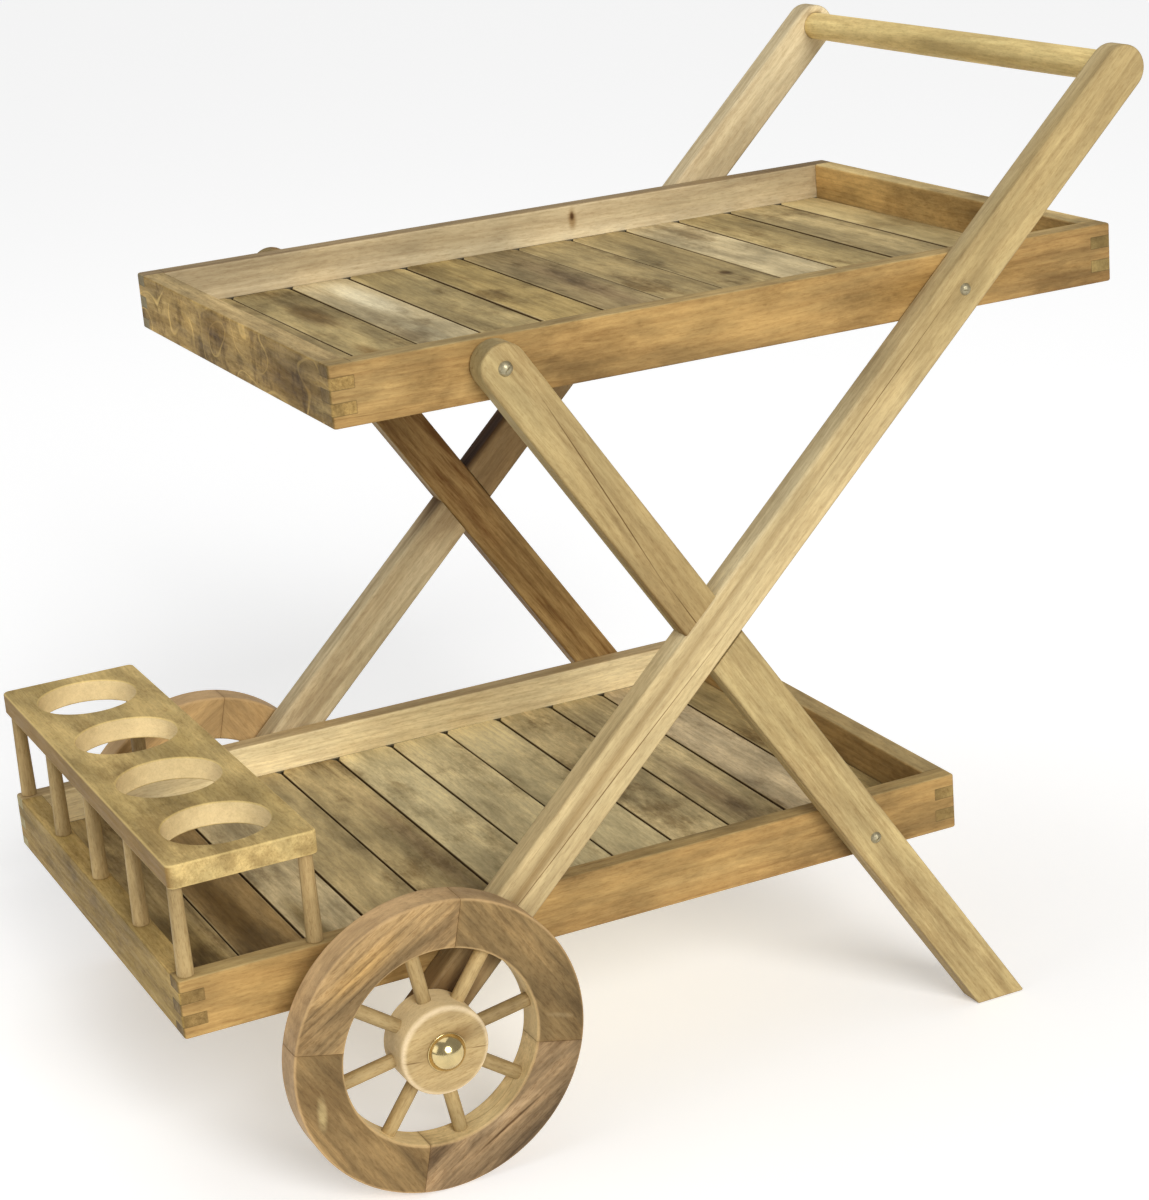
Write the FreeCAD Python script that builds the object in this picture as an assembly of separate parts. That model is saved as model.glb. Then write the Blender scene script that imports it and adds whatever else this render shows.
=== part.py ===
import FreeCAD, Part

import math
import os

# Wooden serving trolley: two slatted trays carried between crossed arms, with a pair of spoked
# wheels in front, a push bar behind and a bottle rack standing on the lower tray.
# Millimetres and degrees. +X points back to the push bar, +Y to the pusher's right, +Z up.
# The origin is on the floor, in the middle of the overall length and width.

# Trays
tray_length = 712.0
tray_width = 480.0
rim_height = 50.0
board_thickness = 20.0
finger_count = 5
tray_corner_round = 3.0
board_edge_round = 2.0
tray_over_axle = 37.0          # lower tray's underside over the axle's centre
tray_spacing = 460.0           # one tray's underside over the other's
lower_tray_overhang = 190.0    # ahead of the axle
upper_tray_overhang = 12.5     # ahead of the axle

# Slats, tongued into grooves in the side boards and screwed to a batten underneath
slat_pitch = 57.0
slat_gap = 1.5
slat_thickness = 10.0
slat_rise = 8.0                # slats' underside over the tray's underside
slat_edge_ease = 0.8
slat_corner_cut = 2.4          # taken off a slat's width at each end
slat_corner_length = 7.0       # how far that cut reaches past the side board
narrowest_slat = 25.0
tongue_drop = 2.0              # tongue's top under the slat's
shoulder_clearance = 0.3       # slat's shoulder before the side board
groove_depth = 7.0
groove_clearance = 0.3
batten_width = 40.0

# Crossed arms: the handle arms reach from the axle to the push bar, the legs from pivot to floor
arm_width = 40.0
arm_thickness = 25.0
arm_edge_round = 3.0
handle_length = 975.0          # axle's centre to push bar's centre
handle_tilt = 44.1             # above the floor
leg_pivot_setback = 121.5      # leg's upper pivot behind the axle
leg_pivot_rise = 29.0          # over the upper tray's underside
foot_setback = 546.5           # foot's middle behind the axle
bar_diameter = 26.0
bar_socket_depth = 15.0
joint_clearance = 0.1          # round wooden joints, all round

# Fasteners: slotted domed heads outside, flat heads under the battens
arm_screw_rise = 23.0          # over a tray's underside
arm_screw_radius = 2.5
arm_screw_length = 36.0
arm_screw_head_radius = 5.2
arm_screw_head_height = 3.4
arm_screw_recess = 5.0         # sinks the head that sits behind the wheel
recess_clearance = 0.5
pivot_bolt_radius = 3.0
pivot_bolt_length = 40.0
pivot_bolt_head_radius = 6.2
pivot_bolt_head_height = 4.0
screw_slot_width = 1.3
screw_slot_depth = 1.2
batten_screw_radius = 1.75
batten_screw_length = 15.0
batten_screw_head_radius = 3.5
screw_clearance = 0.1
tip_clearance = 0.5

# Wheels
wheel_radius = 125.0
felloe_depth = 41.5
felloe_width = 30.0
felloe_edge_round = 2.5
felloe_count = 4
spokes_per_felloe = 2
first_spoke_angle = 9.5
spoke_diameter = 12.0
spoke_tenon = 12.0
hub_radius = 38.0
hub_length = 40.0
hub_nose_round = 5.0
hub_back_round = 2.0
hub_back_step = 2.5            # hub's back face behind the rim's
hub_play = 0.3
axle_diameter = 12.0
axle_clearance = 0.05
axle_head_radius = 13.0
axle_head_height = 6.0
axle_head_rim = 1.5
washer_radius = 14.0
washer_thickness = 2.0
cap_radius = 16.5
cap_brim = 1.5
cap_brim_width = 0.5
cap_height = 13.5
cap_socket_depth = 8.0

# Bottle rack
rack_depth = 124.0
rack_thickness = 20.0
rack_rise = 78.0               # board's underside over the lower tray's rim
rack_setback = 2.0             # behind the lower tray's front
rack_overhang = 4.0            # past the tray at either side
rack_corner_round = 6.0
rack_edge_round = 2.0
bottle_pitch = 120.0
bottle_hole_diameter = 88.0
bottle_hole_ease = 1.2
spindle_foot_radius = 7.0
spindle_top_radius = 5.8
spindle_tenon_radius = 4.5
spindle_tenon_length = 12.0

V = FreeCAD.Vector
TINY = 1e-4

# Places that several pieces share, first as distances behind the axle
tilt = math.radians(handle_tilt)
bar_setback = handle_length * math.cos(tilt)
front_reach = max(lower_tray_overhang, upper_tray_overhang, wheel_radius)
rear_reach = max(bar_setback + arm_width / 2, tray_length - min(lower_tray_overhang, upper_tray_overhang))
axle_x = (front_reach - rear_reach) / 2
axle_z = wheel_radius

lower_front = axle_x - lower_tray_overhang
upper_front = axle_x - upper_tray_overhang
lower_floor = axle_z + tray_over_axle
upper_floor = lower_floor + tray_spacing
rim_inside = tray_width / 2 - board_thickness

arm_inside = tray_width / 2
arm_outside = arm_inside + arm_thickness
arm_middle = arm_inside + arm_thickness / 2
axle_centre = V(axle_x, 0, axle_z)
bar_centre = V(axle_x + bar_setback, 0, axle_z + handle_length * math.sin(tilt))
pivot_centre = V(axle_x + leg_pivot_setback, 0, upper_floor + leg_pivot_rise)
foot_centre = V(axle_x + foot_setback, 0, 0)
handle_way = (bar_centre - axle_centre).normalize()
leg_way = (foot_centre - pivot_centre).normalize()

hub_back = arm_outside + washer_thickness + hub_play
hub_face = hub_back + hub_length
felloe_back = hub_back + hub_back_step
felloe_middle = felloe_back + felloe_width / 2
felloe_inside = wheel_radius - felloe_depth
cap_seat = hub_face + hub_play

slat_top_rise = slat_rise + slat_thickness
tongue_top_rise = slat_top_rise - tongue_drop
slatted_length = tray_length - 2 * board_thickness
slat_count = math.ceil((slatted_length - narrowest_slat) / slat_pitch)

rack_length = tray_width + 2 * rack_overhang
bottle_count = int(rack_length / bottle_pitch)
rack_front = lower_front + rack_setback
rack_floor = lower_floor + rim_height + rack_rise
spindle_inset = board_thickness / 2 - rack_setback


def box(x, y, z):
    """A block between the low and high ends given for each axis."""
    return Part.makeBox(x[1] - x[0], y[1] - y[0], z[1] - z[0], V(x[0], y[0], z[0]))


def rod(radius, start, end):
    return Part.makeCylinder(radius, (end - start).Length, start, end - start)


def line(start, end):
    return Part.LineSegment(start, end).toShape()


def arc(start, middle, end):
    return Part.Arc(start, middle, end).toShape()


def turned(edges):
    """A solid of revolution about Z from a closed outline in the XZ plane."""
    return Part.Face(Part.Wire(edges)).revolve(V(0, 0, 0), V(0, 0, 1), 360)


def polygon(*corners):
    """Straight edges from corner to corner, given as radius and height."""
    points = [V(radius, 0, height) for radius, height in corners]
    return [line(start, end) for start, end in zip(points, points[1:])]


def dome(radius, base, height):
    """The arc of a round head's outline, from its rim up to its top on the axis."""
    ball = (radius ** 2 + height ** 2) / (2 * height)
    half = math.asin(min(1.0, radius / ball)) / 2
    middle = V(ball * math.sin(half), 0, base + height - ball * (1 - math.cos(half)))
    return arc(V(radius, 0, base), middle, V(0, 0, base + height))


def quarter_round(centre_radius, centre_height, size, from_angle, to_angle):
    """A rounded corner of a turned outline."""
    angles = [math.radians(a) for a in (from_angle, (from_angle + to_angle) / 2, to_angle)]
    centre = V(centre_radius, 0, centre_height)
    return arc(*[centre + V(math.cos(a), 0, math.sin(a)) * size for a in angles])


def placed(shape, point, way, roll=0.0):
    """The shape with its base at a point and its Z axis turned to point along way."""
    copy = shape.copy()
    turn = FreeCAD.Rotation(V(0, 0, 1), way)
    copy.Placement = FreeCAD.Placement(point, turn * FreeCAD.Rotation(V(0, 0, 1), roll))
    return copy


def mirrored(shape):
    return shape.mirror(V(0, 0, 0), V(0, 1, 0))


def level_edges(shape, z):
    return [e for e in shape.Edges if abs(e.BoundBox.ZMin - z) < TINY and abs(e.BoundBox.ZMax - z) < TINY]


def upright_edges(shape):
    return [e for e in shape.Edges if e.BoundBox.XLength < TINY and e.BoundBox.YLength < TINY]


def without(shape, cutters):
    """The one solid left when every cutter is taken away."""
    rest = shape.cut(cutters) if cutters else shape
    assert len(rest.Solids) == 1, "a cut divided a piece"
    return rest.Solids[0]


# Where the arms are fastened to the trays, on the left side's faces
def along_arm(start, way, z):
    """The point of an arm's centre line at a height."""
    return start + way * ((z - start.z) / way.z)


arm_screw_points = [
    along_arm(axle_centre, handle_way, upper_floor + arm_screw_rise),
    along_arm(pivot_centre, leg_way, lower_floor + arm_screw_rise),
]
recessed_screw_point = along_arm(axle_centre, handle_way, lower_floor + arm_screw_rise)


def arm_hole(radius, point, start, end):
    """A round hole along Y on the left side, between two distances from the middle."""
    return rod(radius, V(point.x, -start, point.z), V(point.x, -end, point.z))


def arm_screw_holes():
    radius = arm_screw_radius + screw_clearance
    tip = arm_outside - arm_screw_length - tip_clearance
    holes = [arm_hole(radius, point, tip, arm_outside) for point in arm_screw_points]
    holes.append(arm_hole(radius, recessed_screw_point, tip - arm_screw_recess, arm_outside))
    head = arm_screw_head_radius + recess_clearance
    holes.append(arm_hole(head, recessed_screw_point, arm_outside - arm_screw_recess, arm_outside))
    tip = arm_outside - pivot_bolt_length - tip_clearance
    holes.append(arm_hole(pivot_bolt_radius + screw_clearance, pivot_centre, tip, arm_outside))
    return holes


def domed_screw(radius, length, head_radius, head_height):
    """A slotted screw with its head's seat on the origin and its head up."""
    outline = polygon((0, head_height), (0, -length), (radius, -length), (radius, 0), (head_radius, 0))
    screw = turned(outline + [dome(head_radius, 0, head_height)])
    half = screw_slot_width / 2
    slot = box(
        (-head_radius, head_radius),
        (-half, half),
        (head_height - screw_slot_depth, head_height + screw_slot_depth),
    )
    return without(screw, [slot])


def flat_screw():
    """A countersunk screw pointing up, with its flat head's face on the origin."""
    head = batten_screw_head_radius
    shank = batten_screw_radius
    return turned(polygon((0, 0), (head, 0), (shank, head - shank), (shank, batten_screw_length),
                          (0, batten_screw_length), (0, 0)))


def flat_screw_hole():
    """Clearance for a countersunk screw: the same outline, a little wider and deeper."""
    head = batten_screw_head_radius + screw_clearance
    shank = batten_screw_radius + screw_clearance
    depth = batten_screw_length + tip_clearance
    return turned(polygon((0, 0), (head, 0), (shank, head - shank), (shank, depth), (0, depth), (0, 0)))


def rounded_rim(front, floor):
    """A tray's four boards as one frame with rounded edges, before the corner joints divide it."""
    z = (floor, floor + rim_height)
    rim = box((front, front + tray_length), (-tray_width / 2, tray_width / 2), z)
    rim = rim.makeFillet(tray_corner_round, upright_edges(rim))
    rim = rim.makeFillet(board_edge_round, level_edges(rim, z[0]) + level_edges(rim, z[1]))
    inside_x = (front + board_thickness, front + tray_length - board_thickness)
    rim = rim.cut(box(inside_x, (-rim_inside, rim_inside), z))
    inner_edges = [
        e for e in level_edges(rim, z[1])
        if e.BoundBox.XMin > inside_x[0] - TINY and e.BoundBox.XMax < inside_x[1] + TINY
        and abs(e.BoundBox.YMin) < rim_inside + TINY and abs(e.BoundBox.YMax) < rim_inside + TINY
    ]
    return rim.makeFillet(board_edge_round, inner_edges)


def corner_fingers(front, floor, first):
    """Every second finger of all four box joints, counted up from the first one given."""
    finger = rim_height / finger_count
    corners_x = (front, front + tray_length - board_thickness)
    corners_y = (-tray_width / 2, rim_inside)
    heights = [floor + k * finger for k in range(first, finger_count, 2)]
    return [
        box((x, x + board_thickness), (y, y + board_thickness), (z, z + finger))
        for x in corners_x for y in corners_y for z in heights
    ]


def tray_boards(front, floor, cutters):
    """The side boards hold the first, third and fifth finger of each corner, the ends the others."""
    rim = rounded_rim(front, floor)
    z = (floor, floor + rim_height)
    whole_x = (front, front + tray_length)
    inside_x = (front + board_thickness, front + tray_length - board_thickness)
    groove_y = rim_inside + groove_depth
    groove_z = (floor + slat_rise, floor + tongue_top_rise + groove_clearance)
    groove = box(inside_x, (-groove_y, groove_y), groove_z)
    blanks = {
        "left_side": (box(whole_x, (-tray_width / 2, -rim_inside), z), 1),
        "right_side": (box(whole_x, (rim_inside, tray_width / 2), z), 1),
        "front_end": (box((front, inside_x[0]), (-tray_width / 2, tray_width / 2), z), 0),
        "rear_end": (box((inside_x[1], whole_x[1]), (-tray_width / 2, tray_width / 2), z), 0),
    }
    boards = {}
    for name, (blank, others_finger) in blanks.items():
        board = rim.common(blank.cut(corner_fingers(front, floor, others_finger)))
        boards[name] = without(board, cutters + ([groove] if "side" in name else []))
    return boards


def slat_ends(front, index):
    """The front and back edge of a slat; the last one is ripped to what room is left."""
    start = front + board_thickness + index * slat_pitch
    stop = start + slat_pitch
    if index == slat_count - 1:
        stop = front + tray_length - board_thickness
    return start + slat_gap / 2, stop - slat_gap / 2


def slat(front, floor, index):
    """A board across the tray, with eased top edges, cut corners where the gaps end and a tongue
    at either end that is flush with its underside."""
    x0, x1 = slat_ends(front, index)
    end_y = rim_inside + groove_depth - groove_clearance
    shoulder_y = rim_inside - shoulder_clearance
    cut_y = rim_inside - slat_corner_length
    left, right = x0 + slat_corner_cut, x1 - slat_corner_cut
    plan = [
        (x0, -cut_y), (left, -shoulder_y), (left, -end_y), (right, -end_y), (right, -shoulder_y), (x1, -cut_y),
        (x1, cut_y), (right, shoulder_y), (right, end_y), (left, end_y), (left, shoulder_y), (x0, cut_y),
    ]
    z = floor + slat_rise
    points = [V(x, y, z) for x, y in plan]
    board = Part.Face(Part.makePolygon(points + points[:1])).extrude(V(0, 0, slat_thickness))
    long_edges = [e for e in level_edges(board, z + slat_thickness) if e.BoundBox.YLength > cut_y]
    board = board.makeChamfer(slat_edge_ease, long_edges)
    rebate = box((x0, x1), (shoulder_y, end_y), (floor + tongue_top_rise, floor + slat_top_rise))
    return without(board, [rebate, mirrored(rebate)])


def slatted_floor(prefix, front, floor):
    """The slats, the batten that runs under their middle and the screws that hold them to it."""
    inside_x = (front + board_thickness, front + tray_length - board_thickness)
    batten = box(inside_x, (-batten_width / 2, batten_width / 2), (floor, floor + slat_rise))
    middles = [sum(slat_ends(front, index)) / 2 for index in range(slat_count)]
    holes = [placed(flat_screw_hole(), V(x, 0, floor), V(0, 0, 1)) for x in middles]
    pieces = {prefix + "_batten": without(batten, holes)}
    for index, hole in enumerate(holes):
        pieces["%s_slat_%02d" % (prefix, index + 1)] = without(slat(front, floor, index), [hole])
    screws = [placed(flat_screw(), V(x, 0, floor), V(0, 0, 1)) for x in middles]
    return pieces, screws


def across(way):
    """Half an arm's width, square to its length."""
    return V(-way.z, 0, way.x) * (arm_width / 2)


def handle_outline():
    side = across(handle_way)
    tip = handle_way * (arm_width / 2)
    return [
        line(axle_centre + side, bar_centre + side),
        arc(bar_centre + side, bar_centre + tip, bar_centre - side),
        line(bar_centre - side, axle_centre - side),
        arc(axle_centre - side, axle_centre - tip, axle_centre + side),
    ]


def leg_outline():
    """Round about the pivot at the top, cut level with the floor at the foot."""
    side = across(leg_way)
    top = pivot_centre - leg_way * (arm_width / 2)
    foot_a = along_arm(pivot_centre + side, leg_way, 0)
    foot_b = along_arm(pivot_centre - side, leg_way, 0)
    return [
        line(pivot_centre + side, foot_a),
        line(foot_a, foot_b),
        line(foot_b, pivot_centre - side),
        arc(pivot_centre - side, top, pivot_centre + side),
    ]


def arm_blank(outline):
    """An arm on the left side, its long edges and round ends eased."""
    face = Part.Face(Part.Wire(outline))
    blank = face.extrude(V(0, arm_thickness, 0))
    blank.translate(V(0, -arm_outside, 0))
    edges = [e for e in blank.Edges if e.BoundBox.YLength < TINY and e.BoundBox.ZMax > TINY]
    return blank.makeFillet(arm_edge_round, edges)


def lap(way, y):
    """The halving joint's notch: the width of the arm that crosses, through half the thickness."""
    side = across(way)
    reach = way * (2 * arm_width)
    corners = [crossing + offset for offset in (side + reach, side - reach, -side - reach, -side + reach)]
    notch = Part.Face(Part.makePolygon(corners + corners[:1])).extrude(V(0, y[1] - y[0], 0))
    notch.translate(V(0, y[0], 0))
    return notch


def crossing_point():
    """Where the centre lines of handle arm and leg meet."""
    gap = pivot_centre - axle_centre
    turn = handle_way.x * leg_way.z - handle_way.z * leg_way.x
    return axle_centre + handle_way * ((gap.x * leg_way.z - gap.z * leg_way.x) / turn)


crossing = crossing_point()


def left_arms():
    screw_holes = arm_screw_holes()
    axle_hole = arm_hole(axle_diameter / 2 + axle_clearance, axle_centre, arm_inside, arm_outside)
    bar_hole = arm_hole(bar_diameter / 2 + joint_clearance, bar_centre, 0, arm_inside + bar_socket_depth)
    inner_lap = lap(leg_way, (-arm_middle, -arm_inside))
    outer_lap = lap(handle_way, (-arm_outside, -arm_middle))
    handle_arm = without(arm_blank(handle_outline()), screw_holes + [axle_hole, bar_hole, inner_lap])
    leg = without(arm_blank(leg_outline()), screw_holes + [outer_lap])
    return handle_arm, leg


def wheel_angle(index):
    """The angle of a spoke, counted from +X towards +Z."""
    return math.radians(first_spoke_angle + index * 360.0 / (felloe_count * spokes_per_felloe))


def spoke(index, radius, start, end):
    angle = wheel_angle(index)
    way = V(math.cos(angle), 0, math.sin(angle))
    centre = V(axle_x, -felloe_middle, axle_z)
    return rod(radius, centre + way * start, centre + way * end)


def spoke_rods(radius, clearance):
    start = hub_radius - spoke_tenon - clearance
    end = felloe_inside + spoke_tenon + clearance
    return [spoke(index, radius + clearance, start, end) for index in range(felloe_count * spokes_per_felloe)]


def hub():
    """A turned hub, its axis on the left wheel's axle and its nose outwards."""
    bore = axle_diameter / 2 + axle_clearance
    nose = hub_nose_round
    back = hub_back_round
    outline = polygon((hub_radius - nose, hub_length), (bore, hub_length), (bore, 0), (hub_radius - back, 0))
    outline.append(quarter_round(hub_radius - back, back, back, -90, 0))
    outline += polygon((hub_radius, back), (hub_radius, hub_length - nose))
    outline.append(quarter_round(hub_radius - nose, hub_length - nose, nose, 0, 90))
    return placed(turned(outline), V(axle_x, -hub_back, axle_z), V(0, -1, 0))


def felloe(index):
    """One stretch of the rim, its ends midway between two spokes."""
    section = box((felloe_inside, wheel_radius), (0, 1), (felloe_back, felloe_back + felloe_width))
    round_edges = [e for e in section.Edges if e.BoundBox.YLength > TINY]
    section = section.makeFillet(felloe_edge_round, round_edges)
    face = next(f for f in section.Faces if f.BoundBox.YMax < TINY)
    share = 360.0 / felloe_count
    stretch = face.revolve(V(0, 0, 0), V(0, 0, 1), share)
    start = first_spoke_angle - share / spokes_per_felloe / 2 + index * share
    return placed(stretch, V(axle_x, 0, axle_z), V(0, -1, 0), start)


def left_wheel():
    holes = spoke_rods(spoke_diameter / 2, joint_clearance)
    pieces = {"wheel_hub": without(hub(), holes)}
    pieces["wheel_spokes"] = Part.makeCompound(spoke_rods(spoke_diameter / 2, 0))
    for index in range(felloe_count):
        pieces["felloe_%d" % (index + 1)] = without(felloe(index), holes)
    return pieces


def hub_cap():
    """A domed metal cap pressed on the axle's end."""
    bore = axle_diameter / 2 + axle_clearance
    dome_radius = cap_radius - cap_brim_width
    outline = polygon((0, cap_height), (0, cap_socket_depth), (bore, cap_socket_depth), (bore, 0),
                      (cap_radius, 0), (cap_radius, cap_brim), (dome_radius, cap_brim))
    outline.append(dome(dome_radius, cap_brim, cap_height - cap_brim))
    return placed(turned(outline), V(axle_x, -cap_seat, axle_z), V(0, -1, 0))


def washer():
    bore = axle_diameter / 2 + axle_clearance
    outline = polygon((bore, 0), (washer_radius, 0), (washer_radius, washer_thickness),
                      (bore, washer_thickness), (bore, 0))
    return placed(turned(outline), V(axle_x, -arm_outside, axle_z), V(0, -1, 0))


def spindle_points():
    """Feet of the rack's spindles: a row on the front board and one at the back of each side."""
    reach = (tray_width - board_thickness) / 2
    step = 2 * reach / bottle_count
    front_x = rack_front + spindle_inset
    rear_x = rack_front + rack_depth - spindle_inset
    points = [V(front_x, -reach + k * step, lower_floor + rim_height) for k in range(bottle_count + 1)]
    return points + [V(rear_x, y, lower_floor + rim_height) for y in (-reach, reach)]


def spindle_outline(clearance):
    tenon = spindle_tenon_radius + clearance
    ends = spindle_tenon_length + clearance
    return polygon((0, -ends), (tenon, -ends), (tenon, 0), (spindle_foot_radius, 0),
                   (spindle_top_radius, rack_rise), (tenon, rack_rise), (tenon, rack_rise + ends),
                   (0, rack_rise + ends), (0, -ends))


def spindles(clearance):
    turning = turned(spindle_outline(clearance))
    return [placed(turning, point, V(0, 0, 1)) for point in spindle_points()]


def rack_board():
    """A rounded board with a round hole over every bottle's place."""
    z = (rack_floor, rack_floor + rack_thickness)
    board = box((rack_front, rack_front + rack_depth), (-rack_length / 2, rack_length / 2), z)
    board = board.makeFillet(rack_corner_round, upright_edges(board))
    board = board.makeFillet(rack_edge_round, level_edges(board, z[0]) + level_edges(board, z[1]))
    middle_x = rack_front + rack_depth / 2
    hole = rod(bottle_hole_diameter / 2, V(middle_x, 0, z[0]), V(middle_x, 0, z[1]))
    first_y = -(bottle_count - 1) * bottle_pitch / 2
    holes = [hole.translated(V(0, first_y + k * bottle_pitch, 0)) for k in range(bottle_count)]
    board = without(board, holes)
    inside = rack_front + rack_corner_round
    rims = [e for e in board.Edges if e.Closed and e.BoundBox.XMin > inside and e.BoundBox.ZLength < TINY]
    return without(board.makeChamfer(bottle_hole_ease, rims), spindles(joint_clearance))


def left_fasteners():
    """Arm screws and the leg's pivot bolt, their slots turned as they were left."""
    screw = domed_screw(arm_screw_radius, arm_screw_length, arm_screw_head_radius, arm_screw_head_height)
    out = V(0, -1, 0)
    slot_turns = (0.0, 40.0)
    screws = [
        placed(screw, V(point.x, -arm_outside, point.z), out, roll)
        for point, roll in zip(arm_screw_points, slot_turns)
    ]
    seat = -(arm_outside - arm_screw_recess)
    screws.append(placed(screw, V(recessed_screw_point.x, seat, recessed_screw_point.z), out))
    bolt = domed_screw(pivot_bolt_radius, pivot_bolt_length, pivot_bolt_head_radius, pivot_bolt_head_height)
    bolt_turn = 50.0
    return screws, placed(bolt, V(pivot_centre.x, -arm_outside, pivot_centre.z), out, bolt_turn)


def push_bar():
    end = arm_inside + bar_socket_depth - joint_clearance
    return rod(bar_diameter / 2, bar_centre - V(0, end, 0), bar_centre + V(0, end, 0))


def stub_axle():
    """A round-headed bolt, put through the left arm and hub from inside, with its end in the cap."""
    seat = axle_centre - V(0, arm_inside, 0)
    outline = polygon((0, axle_head_height), (0, 0), (axle_head_radius, 0), (axle_head_radius, axle_head_rim))
    outline.append(dome(axle_head_radius, axle_head_rim, axle_head_height - axle_head_rim))
    head = placed(turned(outline), seat, V(0, 1, 0))
    shank = rod(axle_diameter / 2, seat, axle_centre - V(0, cap_seat + cap_socket_depth, 0))
    bolt = head.fuse(shank).removeSplitter()
    assert len(bolt.Solids) == 1, "a stub axle fell apart"
    return bolt.Solids[0]


def pair(shape):
    """A left-hand piece and its mirror image in one group."""
    return Part.makeCompound([shape, mirrored(shape)])


def build():
    nodes = {}
    arm_holes = arm_screw_holes()
    fixings = arm_holes + [mirrored(hole) for hole in arm_holes]
    sockets = spindles(joint_clearance)
    batten_screws = []
    for prefix, front, floor, cutters in (
        ("upper", upper_front, upper_floor, fixings),
        ("lower", lower_front, lower_floor, fixings + sockets),
    ):
        for name, board in tray_boards(front, floor, cutters).items():
            nodes["%s_tray_%s" % (prefix, name)] = board
        pieces, screws = slatted_floor(prefix, front, floor)
        nodes.update(pieces)
        batten_screws += screws

    handle_arm, leg = left_arms()
    left_pieces = {"handle_arm": handle_arm, "leg": leg}
    left_pieces.update(left_wheel())
    for name, shape in left_pieces.items():
        nodes["left_" + name] = shape
        nodes["right_" + name] = mirrored(shape)

    screws, bolt = left_fasteners()
    nodes["push_bar"] = push_bar()
    nodes["stub_axles"] = pair(stub_axle())
    nodes["axle_washers"] = pair(washer())
    nodes["hub_caps"] = pair(hub_cap())
    nodes["rack_board"] = rack_board()
    nodes["rack_spindles"] = Part.makeCompound(spindles(0))
    nodes["arm_screws"] = Part.makeCompound(screws + [mirrored(screw) for screw in screws])
    nodes["leg_pivot_bolts"] = pair(bolt)
    nodes["batten_screws"] = Part.makeCompound(batten_screws)
    return nodes


os.makedirs("parts", exist_ok=True)
for node, shape in build().items():
    shape.exportStep(os.path.join("parts", node + ".step"))
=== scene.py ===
"""A slatted teak serving trolley: its wood, brass and studio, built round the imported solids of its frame."""

import math

import bmesh
import bpy
import numpy as np
from bpy.props import FloatProperty, FloatVectorProperty, PointerProperty
from mathutils import Matrix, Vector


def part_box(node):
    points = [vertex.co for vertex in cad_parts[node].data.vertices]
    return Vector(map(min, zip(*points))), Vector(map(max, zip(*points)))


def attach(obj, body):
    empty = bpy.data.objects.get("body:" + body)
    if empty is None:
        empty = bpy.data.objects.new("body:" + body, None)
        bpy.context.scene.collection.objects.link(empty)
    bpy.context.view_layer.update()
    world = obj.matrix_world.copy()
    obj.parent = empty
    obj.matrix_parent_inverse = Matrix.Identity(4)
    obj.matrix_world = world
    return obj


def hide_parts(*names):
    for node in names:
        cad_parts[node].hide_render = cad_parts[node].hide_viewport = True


bl_info = {
    "name": "Serving Trolley",
    "version": (1, 0, 0),
    "blender": (4, 5, 0),
    "location": "View3D > Sidebar > Trolley",
    "description": "Wood, brass and studio of a slatted serving trolley",
    "category": "Object",
}

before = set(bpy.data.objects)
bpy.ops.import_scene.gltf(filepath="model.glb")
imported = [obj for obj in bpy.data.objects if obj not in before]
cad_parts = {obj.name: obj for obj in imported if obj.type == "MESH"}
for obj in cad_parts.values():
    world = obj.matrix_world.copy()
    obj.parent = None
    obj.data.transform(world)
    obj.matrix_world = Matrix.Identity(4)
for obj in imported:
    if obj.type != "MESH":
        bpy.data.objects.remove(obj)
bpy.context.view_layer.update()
SIDES = (("left", -1.0), ("right", 1.0))
TRAYS = ("upper", "lower")
SLAT_COUNT = 12
FELLOE_COUNT = 4
SPOKE_COUNT = 8
BOTTLE_COUNT = 4
FINGER_COUNT = 5
X = (1.0, 0.0, 0.0)
Y = (0.0, 1.0, 0.0)
Z = (0.0, 0.0, 1.0)
WHITE = (1.0, 1.0, 1.0, 1.0)


def srgb(red, green, blue):
    """A screen colour from 0 to 255 in linear light."""
    level = np.array((red, green, blue)) / 255.0
    linear = np.where(level <= 0.04045, level / 12.92, ((level + 0.055) / 1.055) ** 2.4)
    return tuple(float(value) for value in linear)


def length(name, description, default):
    return FloatProperty(name=name, description=description, default=default, min=0.0, precision=5,
                         unit="LENGTH")


def turn(name, description, degrees):
    return FloatProperty(name=name, description=description, default=math.radians(degrees), subtype="ANGLE")


def colour(name, description, default):
    return FloatVectorProperty(name=name, description=description, default=default, size=3, min=0.0, max=1.0,
                               subtype="COLOR")


def share(name, description, default):
    return FloatProperty(name=name, description=description, default=default, min=0.0, soft_max=1.0,
                         subtype="FACTOR")


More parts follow.
